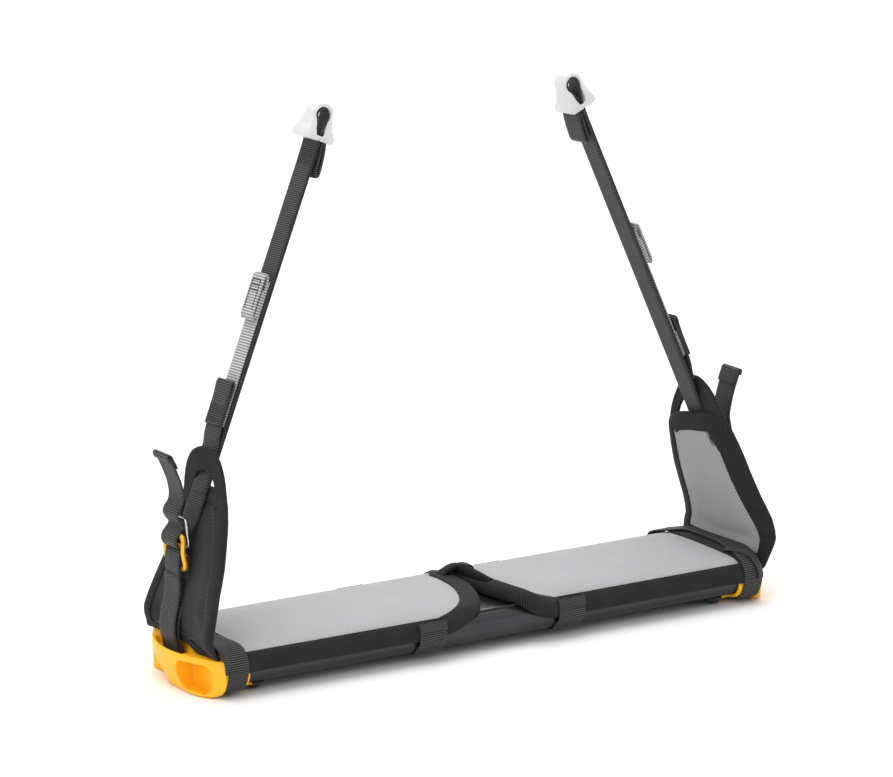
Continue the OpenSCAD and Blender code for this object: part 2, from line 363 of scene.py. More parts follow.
def mixc(nt, fac, c1, c2):
    n = nt.nodes.new("ShaderNodeMix")
    n.data_type = "RGBA"
    nt.links.new(fac, n.inputs["Factor"])
    for nm, c in (("A", c1), ("B", c2)):
        s = [i for i in n.inputs if i.name == nm and i.type == "RGBA"][0]
        if isinstance(c, (tuple, list)):
            s.default_value = (*c[:3], 1)
        else:
            nt.links.new(c, s)
    return [o for o in n.outputs if o.type == "RGBA"][0]


def ramp(nt, fac, lo, hi, a=0.0, b=1.0):
    n = nt.nodes.new("ShaderNodeMapRange")
    n.interpolation_type = "SMOOTHSTEP"
    nt.links.new(fac, n.inputs["Value"])
    n.inputs["From Min"].default_value = lo
    n.inputs["From Max"].default_value = hi
    n.inputs["To Min"].default_value = a
    n.inputs["To Max"].default_value = b
    return n.outputs["Result"]


def bump(nt, b, height, strength, dist):
    n = nt.nodes.new("ShaderNodeBump")
    n.inputs["Strength"].default_value = strength
    n.inputs["Distance"].default_value = dist
    nt.links.new(height, n.inputs["Height"])
    nt.links.new(n.outputs[0], b.inputs["Normal"])


def setv(b, **kw):
    for k, v in kw.items():
        k = k.replace("_", " ")
        s = b.inputs[k]
        s.default_value = (*v, 1) if isinstance(v, tuple) and len(v) == 3 else v


def webbing_mat(name, dark, light, pitch=1.65, yarn=1.0, sheen=0.1, rough=0.62, bstr=0.5):
    m, nt, b = material(name)
    vec, u, v, _ = coords(nt)
    wob = noise(nt, vec, 0.35, 2)
    uu = mth(nt, "ADD", u, mth(nt, "MULTIPLY", wob, 0.5))
    # rib term: colour is lighter on each rib crest and near-black in the grooves, in phase with the strip's geometric
    # ribs; this is partly the weave's own pattern, partly a painted highlight on the crests and painted shade in the
    # grooves
    ribs = mth(nt, "MULTIPLY_ADD", mth(nt, "COSINE", mth(nt, "MULTIPLY", u, 2 * pi / pitch)), 0.5, 0.5)
    ribs = mth(nt, "POWER", ribs, 1.7)
    diag = mth(nt, "ADD", mth(nt, "MULTIPLY", v, 2 * pi / yarn), mth(nt, "MULTIPLY", uu, pi / pitch))
    yarns = mth(nt, "MULTIPLY_ADD", mth(nt, "SINE", diag), 0.5, 0.5)
    fz = noise(nt, vec, 1.7, 4, 0.65)
    f = mth(nt, "MULTIPLY", ribs, mth(nt, "MULTIPLY_ADD", yarns, 0.45, 0.55))
    f = mth(nt, "MULTIPLY", f, mth(nt, "MULTIPLY_ADD", fz, 0.7, 0.62))
    nt.links.new(mixc(nt, f, dark, light), b.inputs["Base Color"])
    nt.links.new(ramp(nt, fz, 0.2, 0.8, rough - .08, rough + .1), b.inputs["Roughness"])
    h = mth(nt, "ADD", mth(nt, "MULTIPLY", yarns, 0.6), mth(nt, "MULTIPLY", fz, 0.4))
    bump(nt, b, h, bstr, 0.00022)
    setv(b, Sheen_Weight=sheen, Sheen_Roughness=0.45, Specular_IOR_Level=0.24)
    return m


def twill_mat(name, dark, light, pitch=1.5, sheen=0.1, ang=0.9, strength=0.55):
    m, nt, b = material(name)
    vec, u, v, _ = coords(nt)
    wob = noise(nt, vec, 0.25, 2)
    d = mth(nt, "ADD", mth(nt, "MULTIPLY", u, cos(ang)), mth(nt, "MULTIPLY", v, sin(ang)))
    d = mth(nt, "ADD", d, mth(nt, "MULTIPLY", wob, 0.6))
    tw = mth(nt, "MULTIPLY_ADD", mth(nt, "SINE", mth(nt, "MULTIPLY", d, 2 * pi / pitch)), 0.5, 0.5)
    e = mth(nt, "ADD", mth(nt, "MULTIPLY", u, -sin(ang)), mth(nt, "MULTIPLY", v, cos(ang)))
    tk = mth(nt, "MULTIPLY_ADD", mth(nt, "SINE", mth(nt, "MULTIPLY", e, 2 * pi / (pitch * 0.8))), 0.5, 0.5)
    fz = noise(nt, vec, 1.5, 4, 0.65)
    big = noise(nt, vec, 0.06, 3, 0.5)
    f = mth(nt, "MULTIPLY", mth(nt, "MULTIPLY_ADD", tw, 0.75, 0.1), mth(nt, "MULTIPLY_ADD", tk, 0.45, 0.55))
    f = mth(nt, "MULTIPLY", f, mth(nt, "MULTIPLY_ADD", fz, 0.8, 0.6))
    f = mth(nt, "MULTIPLY", f, mth(nt, "MULTIPLY_ADD", big, 0.8, 0.6))
    nt.links.new(mixc(nt, f, dark, light), b.inputs["Base Color"])
    nt.links.new(ramp(nt, fz, 0.2, 0.8, 0.66, 0.85), b.inputs["Roughness"])
    h = mth(nt, "ADD", mth(nt, "MULTIPLY", mth(nt, "MULTIPLY", tw, tk), 0.8), mth(nt, "MULTIPLY", fz, 0.35))
    bump(nt, b, h, strength, 0.0003)
    setv(b, Sheen_Weight=sheen, Sheen_Roughness=0.5, Specular_IOR_Level=0.12)
    return m


def spacer_mat(name, dark, light, pitch=2.3, ratio=1.0):
    """Spacer mesh: staggered small cells between raised yarns."""
    m, nt, b = material(name)
    vec, u, v, _ = coords(nt)
    wob = noise(nt, vec, 0.12, 2)
    uu = mth(nt, "ADD", u, mth(nt, "MULTIPLY", wob, 0.7))
    vv = mth(nt, "ADD", v, mth(nt, "MULTIPLY", wob, 0.5))
    k = 2 * pi / pitch
    p = mth(nt, "MULTIPLY", mth(nt, "ADD", uu, vv), k * 0.5)
    q = mth(nt, "MULTIPLY", mth(nt, "SUBTRACT", uu, mth(nt, "MULTIPLY", vv, ratio)), k * 0.5)
    c1 = mth(nt, "ABSOLUTE", mth(nt, "SINE", p))
    c2 = mth(nt, "ABSOLUTE", mth(nt, "SINE", q))
    cell = mth(nt, "MULTIPLY", c1, c2)                       # 1 in the middle of a cell
    hole = ramp(nt, cell, 0.45, 0.92)
    grain = mth(nt, "MULTIPLY_ADD", mth(nt, "SINE", mth(nt, "MULTIPLY", p, 4)), 0.5, 0.5)
    fz = noise(nt, vec, 2.2, 4, 0.6)
    big = noise(nt, vec, 0.03, 3, 0.5)
    lt = mth(nt, "MULTIPLY", mth(nt, "MULTIPLY_ADD", fz, 0.35, 0.78), mth(nt, "MULTIPLY_ADD", grain, 0.12, 0.9))
    lt = mth(nt, "MULTIPLY", lt, mth(nt, "MULTIPLY_ADD", big, 0.16, 0.9))
    f = mth(nt, "MULTIPLY", mth(nt, "SUBTRACT", 1.0, mth(nt, "MULTIPLY", hole, 0.72)), lt)
    nt.links.new(mixc(nt, f, dark, light), b.inputs["Base Color"])
    nt.links.new(ramp(nt, fz, 0.2, 0.8, 0.72, 0.9), b.inputs["Roughness"])
    h = mth(nt, "ADD", mth(nt, "SUBTRACT", 1.0, hole), mth(nt, "MULTIPLY", fz, 0.25))
    bump(nt, b, h, 0.55, 0.00045)
    setv(b, Sheen_Weight=0.08, Sheen_Roughness=0.5, Specular_IOR_Level=0.15)
    return m


def felt_mat():
    m, nt, b = material("wing_felt")
    vec, *_ = coords(nt, "Object")
    f1 = noise(nt, vec, 0.9, 5, 0.7)
    f2 = noise(nt, vec, 0.05, 3, 0.5)
    f3 = noise(nt, vec, 3.0, 3, 0.6)
    f = mth(nt, "MULTIPLY_ADD", f2, 0.5, mth(nt, "MULTIPLY", f1, 0.5))
    nt.links.new(mixc(nt, f, (0.008, 0.008, 0.009), (0.046, 0.046, 0.049)), b.inputs["Base Color"])
    nt.links.new(ramp(nt, f1, 0.2, 0.8, 0.8, 0.95), b.inputs["Roughness"])
    bump(nt, b, mth(nt, "ADD", f1, mth(nt, "MULTIPLY", f3, 0.6)), 0.45, 0.0003)
    setv(b, Sheen_Weight=0.1, Sheen_Roughness=0.4, Specular_IOR_Level=0.1)
    return m


def plate_mat():
    m, nt, b = material("plate_anodised")
    tc = nt.nodes.new("ShaderNodeTexCoord")
    mp = nt.nodes.new("ShaderNodeMapping")
    mp.inputs["Scale"].default_value = (6, 900, 900)
    nt.links.new(tc.outputs["Object"], mp.inputs[0])
    lines = noise(nt, mp.outputs[0], 1.0, 4, 0.6)
    mp2 = nt.nodes.new("ShaderNodeMapping")
    mp2.inputs["Scale"].default_value = (1000, 1000, 1000)
    nt.links.new(tc.outputs["Object"], mp2.inputs[0])
    grain = noise(nt, mp2.outputs[0], 1.6, 4, 0.6)
    big = noise(nt, mp2.outputs[0], 0.02, 3, 0.5)
    f = mth(nt, "MULTIPLY_ADD", lines, 0.5, mth(nt, "MULTIPLY", big, 0.5))
    nt.links.new(mixc(nt, f, (0.03, 0.031, 0.033), (0.075, 0.077, 0.08)), b.inputs["Base Color"])
    r = mth(nt, "MULTIPLY_ADD", grain, 0.12, mth(nt, "MULTIPLY_ADD", lines, 0.12, 0.2))
    nt.links.new(r, b.inputs["Roughness"])
    bump(nt, b, mth(nt, "ADD", mth(nt, "MULTIPLY", lines, 0.6), mth(nt, "MULTIPLY", grain, 0.5)), 0.12, 0.0002)
    setv(b, Metallic=0.85, Specular_IOR_Level=0.5)
    return m


def plastic_mat(name, c1, c2, rough, sss=0.0, coat=0.0, scale=1.3, bs=0.12, trans=0.0, srad=0.004):
    m, nt, b = material(name)
    vec, *_ = coords(nt, "Object")
    g = noise(nt, vec, scale, 4, 0.6)
    big = noise(nt, vec, 0.04, 3, 0.5)
    nt.links.new(mixc(nt, big, c1, c2), b.inputs["Base Color"])
    nt.links.new(ramp(nt, g, 0.2, 0.8, rough - 0.05, rough + 0.07), b.inputs["Roughness"])
    bump(nt, b, g, bs, 0.00015)
    setv(b, Specular_IOR_Level=0.45)
    if sss:
        b.inputs["Subsurface Weight"].default_value = sss
        b.inputs["Subsurface Scale"].default_value = srad
        b.inputs["Subsurface Radius"].default_value = (1.0, 0.55, 0.25) if c1[2] < 0.2 else (1, 1, 1)
    if coat:
        setv(b, Coat_Weight=coat, Coat_Roughness=0.25)
    if trans:
        b.inputs["Transmission Weight"].default_value = trans
    return m


def metal_mat(name, c1, c2, metallic, rough, scale=1.5):
    m, nt, b = material(name)
    vec, *_ = coords(nt, "Object")
    g = noise(nt, vec, scale, 4, 0.6)
    big = noise(nt, vec, 0.15, 3, 0.6)
    nt.links.new(mixc(nt, big, c1, c2), b.inputs["Base Color"])
    nt.links.new(ramp(nt, g, 0.2, 0.8, rough - 0.06, rough + 0.08), b.inputs["Roughness"])
    bump(nt, b, g, 0.1, 0.0001)
    setv(b, Metallic=metallic)
    return m


# the wide spread from near-black to light grey is partly a painted highlight on the rib crests and painted shade in
# the grooves
WEB = webbing_mat("webbing_black", (0.0012, 0.0012, 0.0015), (0.115, 0.115, 0.12), sheen=0.03, rough=0.52)
WEBS = webbing_mat("webbing_smooth", (0.005, 0.005, 0.006), (0.026, 0.026, 0.028), pitch=2.0, yarn=0.9, bstr=0.35, sheen=0.035)
TWILL = twill_mat("binding_twill", (0.002, 0.002, 0.0025), (0.05, 0.05, 0.053), sheen=0.03)
GROS = twill_mat("binding_fine", (0.004, 0.004, 0.005), (0.02, 0.02, 0.022), pitch=1.0, ang=1.4, strength=0.4, sheen=0.03)
MESH = spacer_mat("mesh_grey", (0.11, 0.11, 0.115), (0.50, 0.50, 0.515))
# mesh_wing is set darker than the pad's mesh_grey: painted shade standing in for the lower light on the wing's inner
# face
MESHW = spacer_mat("mesh_wing", (0.075, 0.075, 0.078), (0.40, 0.40, 0.41), pitch=2.3, ratio=0.8)
FELT = felt_mat()
PLATE = plate_mat()
CAP = plastic_mat("cap_yellow", (1.0, 0.47, 0.004), (1.0, 0.52, 0.008), 0.42, sss=0.22, srad=0.005)
GOLD = metal_mat("buckle_gold", (0.95, 0.42, 0.02), (1.0, 0.52, 0.05), 0.55, 0.33)
STEEL = metal_mat("steel", (0.5, 0.5, 0.51), (0.66, 0.66, 0.67), 1.0, 0.28)
RIVET = metal_mat("rivet_black", (0.02, 0.02, 0.021), (0.045, 0.045, 0.046), 0.5, 0.35)
THIMBLE = plastic_mat("thimble_white", (0.66, 0.67, 0.675), (0.76, 0.765, 0.77), 0.3, sss=0.3, coat=0.35, trans=0.15, srad=0.005)
PALE = webbing_mat("webbing_pale", (0.19, 0.19, 0.195), (0.72, 0.72, 0.73), pitch=2.1, yarn=2.1, rough=0.6, sheen=0.2, bstr=0.7)
HEM = webbing_mat("hem_grey", (0.014, 0.014, 0.015), (0.085, 0.085, 0.09), pitch=1.0, yarn=1.2, bstr=0.35, sheen=0.035)
THREAD = webbing_mat("thread_dark", (0.015, 0.015, 0.016), (0.085, 0.085, 0.09), pitch=0.6, yarn=0.5)
THREADL = webbing_mat("thread_grey", (0.06, 0.06, 0.063), (0.19, 0.19, 0.195), pitch=0.6, yarn=0.5)


# ------------------------------------------------------------------ stage, lights, camera
def camera():
    a, e, ro = radians(32.61), radians(13.722), radians(-0.133)
    d = V((sin(a) * cos(e), cos(a) * cos(e), -sin(e)))
    r = V((cos(a), -sin(a), 0))
    u = r.cross(d)
    r2 = r * cos(ro) + u * sin(ro)
    u2 = -r * sin(ro) + u * cos(ro)
    c = bpy.data.cameras.new("camera")
    ob = bpy.data.objects.new("camera", c)
    bpy.context.scene.collection.objects.link(ob)
    m = Matrix((r2, u2, -d)).transposed().to_4x4()
    m.translation = V((-2.2033, -3.4269, 1.1806))
    ob.matrix_world = m
    c.sensor_width = 36
    c.lens = 221.67
    c.clip_end = 60
    bpy.context.scene.camera = ob


def area(name, loc, target, sx, sy, power, col=(1, 1, 1)):
    l = bpy.data.lights.new(name, "AREA")
    l.shape = "RECTANGLE"
    l.size, l.size_y, l.energy, l.color = sx, sy, power, col
    ob = bpy.data.objects.new(name, l)
    bpy.context.scene.collection.objects.link(ob)
    ob.location = loc
    ob.rotation_euler = (V(target) - V(loc)).to_track_quat("-Z", "Y").to_euler()


def stage():
    w = bpy.data.worlds.new("world")
    bpy.context.scene.world = w
    w.use_nodes = True
    bg = w.node_tree.nodes["Background"]
    bg.inputs[0].default_value = (1, 1, 1, 1)
    wn = w.node_tree
    tc = wn.nodes.new("ShaderNodeTexCoord")
    dt = wn.nodes.new("ShaderNodeVectorMath")
    dt.operation = "DOT_PRODUCT"
    dt.inputs[1].default_value = (-0.45, -0.89, -0.05)
    wn.links.new(tc.outputs["Generated"], dt.inputs[0])
    wn.links.new(ramp(wn, dt.outputs["Value"], 0.35, 0.9, 0.97, 0.52), bg.inputs[1])
    z = BOX0[0][2] - 0.0004
    m, nt, b = material("floor_pale")
    vec, *_ = coords(nt, "Object")
    f = noise(nt, vec, 0.004, 2)
    nt.links.new(mixc(nt, f, (0.91, 0.91, 0.915), (0.94, 0.94, 0.94)), b.inputs["Base Color"])
    setv(b, Roughness=0.75, Specular_IOR_Level=0.2)
    me = bpy.data.meshes.new("floor")
    n = 24
    me.from_pydata([(x * 1.0 - 12, y * 1.0 - 8, z) for y in range(n + 1) for x in range(n + 1)], [],
                   [(y * (n + 1) + x, y * (n + 1) + x + 1, (y + 1) * (n + 1) + x + 1, (y + 1) * (n + 1) + x) for y in range(n) for x in range(n)])
    me.materials.append(m)
    ob = bpy.data.objects.new("floor", me)
    bpy.context.scene.collection.objects.link(ob)
    area("top", (-0.3, 0.2, 2.6), (0, 0, 0.1), 2.4, 1.8, 33)
    area("key", (-2.2, -1.6, 1.5), (0, 0, 0.12), 1.2, 1.4, 15)
    area("fill", (1.8, -2.4, 1.0), (0, 0, 0.12), 1.4, 1.2, 3)
    area("rim", (1.2, 2.2, 1.3), (0, 0, 0.15), 1.6, 1.0, 7)


camera()
stage()

# ------------------------------------------------------------------ profile shared by pads and bands
PROF = [(-61.0, 12.6), (-60.9, 15.5), (-60.2, 19.5), (-58.6, 23.4), (-55.8, 26.5), (-51.6, 28.6), (-45, 29.7), (-34, 30.2), (-22, 30.5),
        (-6, 30.8), (10, 30.8), (24, 30.6), (36, 30.1), (46, 29.0), (52, 27.2), (55.6, 24.4), (57.2, 20.8)]
_d, _p, SMAX = resample(catmull([(y, z, 0) for y, z in PROF], 10), 0.5)
PN = len(_d) - 1
_N = []
for i in range(PN + 1):
    t = (_d[min(i + 2, PN)] - _d[max(i - 2, 0)]).normalized()
    _N.append((-t[1], t[0]))


def prof(s):
    x = max(0.0, min(1.0, s / SMAX)) * PN
    i = min(int(x), PN - 1)
    t = x - i
    p = _d[i].lerp(_d[i + 1], t)
    n = (lerp(_N[i][0], _N[i + 1][0], t), lerp(_N[i][1], _N[i + 1][1], t))
    return p[0], p[1], n[0], n[1]


def under(Y, Z, ax):
    """Point of the plate's skin under a pad point; further out on the sleeve of the cap."""
    g = 0.35 + 2.75 * sm((ax - 214) / 7)
    if Y < -47:
        v = V((Y + 47, Z - 11)).normalized() * (11 + g)
        return -47 + v[0], 11 + v[1]
    if Y > 47:
        v = V((Y - 47, Z - 11)).normalized() * (11 + g)
        return 47 + v[0], 11 + v[1]
    top = 22 + g + (1.2 if -50 < Y < -43 else 0)
    return Y, top


def pad_surf(x, s, k, h):
    Y, Z, ny, nz = prof(s)
    ax = abs(x)
    qy, qz = under(Y, Z, ax)
    t = sqrt((Y - qy) ** 2 + (Z - qz) ** 2)
    out = (Y - qy) * ny + (Z - qz) * nz
    if out < 1.5:                                   # keep a thin layer over the sleeve
        h += 1.5 - out
        t = 1.5
    py, pz = Y + ny * h, Z + nz * h
    return V((x, py + (qy - Y - ny * max(0, 1.5 - out)) * k, pz + (qz - Z - nz * max(0, 1.5 - out)) * k))


LEFT_IN = [(0, -52), (1.5, -48), (4, -39), (8.5, -30), (14, -22.5), (23, -14), (33, -7), (45, -1), (58, 4), (74, 8), (94, 10.3), (112, 10.3), (126, 8), (SMAX, 5)]
RIGHT_IN = [(0, 50), (2.5, 43), (7, 34), (14, 27), (22, 23.5), (30, 21.4), (45, 18.6), (60, 16.4), (75, 15), (95, 14.2), (115, 14.2), (SMAX, 14.5)]


def puff(ob, pressure=4.0, frames=20):
    """Cloth inflated by pressure; returns the displacement of each vertex in mm."""
    rest = [v.co.copy() for v in ob.data.vertices]
    mod = ob.modifiers.new("Cloth", "CLOTH")
    st = mod.settings
    st.quality = 5
    st.mass = 0.3
    st.use_pressure = True
    st.uniform_pressure_force = pressure
    st.tension_stiffness = st.compression_stiffness = 12
    st.shear_stiffness = 6
    st.bending_stiffness = 0.6
    st.effector_weights.gravity = 0
    mod.collision_settings.use_collision = False
    mod.point_cache.frame_start, mod.point_cache.frame_end = 1, frames
    sc = bpy.context.scene
    for f in range(1, frames + 1):
        sc.frame_set(f)
    dg = bpy.context.evaluated_depsgraph_get()
    ev = ob.evaluated_get(dg)
    out = [(v.co - r) * 1000 for v, r in zip(ev.data.vertices, rest)]
    ob.modifiers.remove(mod)
    sc.frame_set(1)
    return out


def chaikin(poly, it=3, maxseg=7.0):
    pts = []
    n = len(poly)
    for i in range(n):
        a, b = V(poly[i]), V(poly[(i + 1) % n])
        m = max(1, int((b - a).length / maxseg))
        pts += [a.lerp(b, k / m) for k in range(m)]
    for _ in range(it):
        q = []
        for i in range(len(pts)):
            a, b = pts[i], pts[(i + 1) % len(pts)]
            q += [a.lerp(b, .25), a.lerp(b, .75)]
        pts = q
    return pts


def edge_tape(name, boundary, surf, section, mat, width, step=1.4, extra=None, closed=True):
    """Binding tape folded round an edge. boundary: 2-D points in the flat plan, anticlockwise inward on the left."""
    if closed:
        pts, par, total = resample([V((p[0], p[1], 0)) for p in boundary], step, True)
    else:
        pts, par, total = resample([V((p[0], p[1], 0)) for p in boundary], step, False)
    n = len(pts)
    area2 = sum(pts[i][0] * pts[(i + 1) % n][1] - pts[(i + 1) % n][0] * pts[i][1] for i in range(n)) if closed else 1
    sgn = 1 if area2 > 0 else -1
    verts, uvs, faces = [], [], []
    acc = [0.0]
    for d, k, h in section[1:]:
        acc.append(acc[-1] + 1.0)
    per = 0
    lens = [0.0]
    for a, b in zip(section, section[1:]):
        per += sqrt(((a[0] - b[0]) * (14.0 if callable(width) else width)) ** 2 + (a[2] - b[2]) ** 2 + (3 * (a[1] - b[1])) ** 2)
        lens.append(per)
    rows = []
    for i, p in enumerate(pts):
        a = pts[i - 1] if (closed or i > 0) else pts[i]
        b = pts[(i + 1) % n] if (closed or i < n - 1) else pts[i]
        t = (b - a).normalized()
        inn = V((-t[1], t[0], 0)) * sgn
        w = width(p[0], p[1]) if callable(width) else width
        base = surf(p[0], p[1], 0, 0)
        q = p + inn * 0.8
        out3 = (base - surf(q[0], q[1], 0, 0)).normalized()
        row = []
        for j, (d, k, h) in enumerate(section):
            dd = d * w
            hh = h
            if extra:
                dd, hh = extra(p, d, k, dd, hh)
            if dd >= 0:
                q = p + inn * dd
                P = surf(q[0], q[1], k, hh)
            else:
                P = surf(p[0], p[1], k, hh) + out3 * (-dd)
            row.append(P)
        rows.append(row)
    m = len(section)
    for i, row in enumerate(rows):
        for j, P in enumerate(row):
            verts.append(P)
            uvs.append((par[i] * total, lens[j]))
    R = len(rows)
    for i in range(R if closed else R - 1):
        for j in range(m):
            a, b = i * m + j, i * m + (j + 1) % m
            k = (i + 1) % R
            faces.append((a, b, k * m + (j + 1) % m, k * m + j))
    if not closed:
        faces.append(tuple(range(m)))
        faces.append(tuple((R - 1) * m + j for j in range(m))[::-1])
    return make(name, verts, faces, mat, uvs)


def stitches(name, pts, nrm, mat, pitch=3.2, length=2.1, r=0.3, lift=0.12):
    """A row of sewn stitches: small arched threads along a line of points with normals."""
    dense, par, total = resample(pts, pitch)
    verts, faces, uvs = [], [], []
    m = len(pts) - 1
    for i in range(len(dense) - 1):
        a, b = dense[i], dense[i + 1]
        T = (b - a)
        if T.length < 1e-6:
            continue
        T.normalize()
        x = par[i] * m
        N = (V(nrm[min(int(x), m)]) if isinstance(nrm, list) else V(nrm)).normalized()
        W = T.cross(N).normalized()
        base = len(verts)
        for k, (t, hh, rr) in enumerate(((0, -0.25, .5), (.25, lift, 1), (.75, lift, 1), (1, -0.25, .5))):
            c = a + T * (length * t) + N * hh
            for ang in (0, 60, 120, 180, 240, 300):
                verts.append(c + W * (cos(radians(ang)) * r * rr) + N * (sin(radians(ang)) * r * rr))
                uvs.append((t * length, ang / 60 * r))
        for k in range(3):
            for j in range(6):
                faces.append((base + k * 6 + j, base + k * 6 + (j + 1) % 6, base + k * 6 + 6 + (j + 1) % 6, base + k * 6 + 6 + j))
        faces.append(tuple(base + j for j in range(6)))
        faces.append(tuple(base + 18 + j for j in range(5, -1, -1)))
    return make(name, verts, faces, mat, uvs)


# section of the pad binding: (share of width inwards, share of wall, lift)
PADSEC = [(1.0, 0, -0.3), (1.003, 0, 0.35), (0.99, 0, 0.75), (0.95, 0, 0.95), (0.84, 0, 1.05), (0.66, 0, 1.2), (0.45, 0, 1.3), (0.25, 0, 1.25), (0.1, 0, 1.0), (0.0, 0, 0.55),
          (-0.07, 0.12, 0.1), (-0.10, 0.3, 0), (-0.11, 0.5, 0), (-0.10, 0.7, 0), (-0.06, 0.86, 0), (0.0, 0.93, 0), (0.1, 0.95, 0), (0.1, 0.75, 0), (0.02, 0.6, 0),
          (0.02, 0.3, 0), (0.06, 0.12, 0), (0.3, 0, -0.4), (0.7, 0, -0.4)]


def pads():
    for nm, f, inner in (("left", -1, LEFT_IN), ("right", 1, RIGHT_IN)):
        xo = f * 239.0
        nx, ns = (58, 34)
        verts, faces, uvs, mask = [], [], [], []

        def x_in(s):
            return table(inner, s)[0]
        for layer in (0, 1):
            for j in range(ns + 1):
                s = 0.8 + (SMAX - 1.6) * j / ns
                for i in range(nx + 1):
                    xi = x_in(s) - (1.0 if f < 0 else -1.0)
                    x = lerp(xo, xi, i / nx)
                    de = min(abs(x - xo), abs(xi - x), s - 0.8, SMAX - .8 - s)
                    verts.append(pad_surf(x, s, 0.96 * layer, -0.55 * (1 - layer)))
                    uvs.append((x, s))
                    mask.append(sm((de - 9) / 26) if layer == 0 else 0)
        W = nx + 1
        L = W * (ns + 1)
        for j in range(ns):
            for i in range(nx):
                a = j * W + i
                faces.append((a, a + 1, a + W + 1, a + W))
                faces.append((L + a, L + a + W, L + a + W + 1, L + a + 1))
        rim = [i for i in range(W)] + [j * W + nx for j in range(1, ns + 1)] + [ns * W + i for i in range(nx - 1, -1, -1)] + [j * W for j in range(ns - 1, 0, -1)]
        for a, b in zip(rim, rim[1:] + rim[:1]):
            faces.append((a, b, L + b, L + a))
        ob = make(f"pad_{nm}", verts, faces, MESH, uvs)
        disp = puff(ob)
        n0 = ob.data.vertices[0]
        for v, d, k in zip(ob.data.vertices, disp, mask):
            if k <= 0:
                continue
            L3 = d.length
            if L3 > 1e-6:
                d = d * (min(L3, 2.0) / L3)
            v.co += V((d[0] * .3, d[1] * .5, max(0.0, d[2]))) * (k * .001)
        # gentle unevenness of the foam under the mesh
        for v, k in zip(ob.data.vertices, mask):
            x, y = v.co.x * 1000, v.co.y * 1000
            v.co.z += k * .00022 * (sin(x / 17 + y / 23) + .6 * sin(x / 9.0 - y / 14 + 1.3))
        md = ob.modifiers.new("Subdivision", "SUBSURF")
        md.levels = md.render_levels = 1
        put(ob, "seat", "pad", f"seat_pad_{nm}")

        # binding round the whole pad
        poly = [(xo, 0.4)]
        poly += [(x, s) for s, x in inner]
        poly[-1] = (poly[-1][0], SMAX)
        poly += [(xo, SMAX)]
        poly = chaikin(poly)

        def extra(p, d, k, dd, hh, f=f):
            if p[1] > SMAX - 10 and hh > 0:
                hh *= 0.6
            if f > 0 and p[0] < 52 and p[1] < 75:            # the rolled front corner of the right pad
                g = sm((52 - p[0]) / 8) * sm((75 - p[1]) / 25)
                if hh > 0.3:
                    hh += g * 3.4 * sin(pi * min(1, max(0, (d + .1) / 1.1)))
                    dd = dd * (1 - .1 * g) - g * 2.0
                elif d < 0.15:
                    dd -= g * 2.0
            return dd, hh
        def wpad(p, s):
            return lerp(14.5, 4.6, sm((s - (SMAX - 26)) / 18))
        tape = edge_tape(f"pad_binding_{nm}", poly, pad_surf, PADSEC, TWILL, wpad, extra=extra)
        put(tape, "seat", "pad")
        # stitch row near the inner edge of the binding
        pl, pr, tot = resample([V((p[0], p[1], 0)) for p in poly], 2.0, True)
        n = len(pl)
        ar = sum(pl[i][0] * pl[(i + 1) % n][1] - pl[(i + 1) % n][0] * pl[i][1] for i in range(n))
        sg = 1 if ar > 0 else -1
        ps, ns_ = [], []
        for i, p in enumerate(pl):
            t = (pl[(i + 1) % n] - pl[i - 1]).normalized()
            wq = wpad(p[0], p[1]) - 1.9
            q = p + V((-t[1], t[0], 0)) * sg * wq
            dd, hh = extra(p, wq / 14.5, 0, wq, 1.0)
            q = p + V((-t[1], t[0], 0)) * sg * dd
            a = pad_surf(q[0], q[1], 0, hh + .02)
            b = pad_surf(q[0], q[1], 0, hh + 1.02)
            ps.append(a)
            ns_.append(b - a)
        st = stitches(f"pad_stitch_{nm}", ps, ns_, THREAD, r=0.26)
        put(st, "seat", "pad")


def band_path(off, off_plate, sleeve=0.0):
    """Closed loop (Y, Z) round pad and plate, off the pad's binding and off the plate."""
    g = off_plate
    pts = []
    for s in range(2, int(SMAX) - 1, 6):
        Y, Z, ny, nz = prof(s)
        pts.append((Y + ny * off, Z + nz * off))
    r = 11 + g + sleeve
    for a in (-4, -35, -65, -90):
        pts.append((47 + r * cos(radians(a)), 11 + r * sin(radians(a))))
    for y in (30, 10, -10, -30):
        pts.append((y, 11 - r))
    for a in (-90, -115, -140, -165):
        pts.append((-47 + r * cos(radians(a)), 11 + r * sin(radians(a))))
    return pts


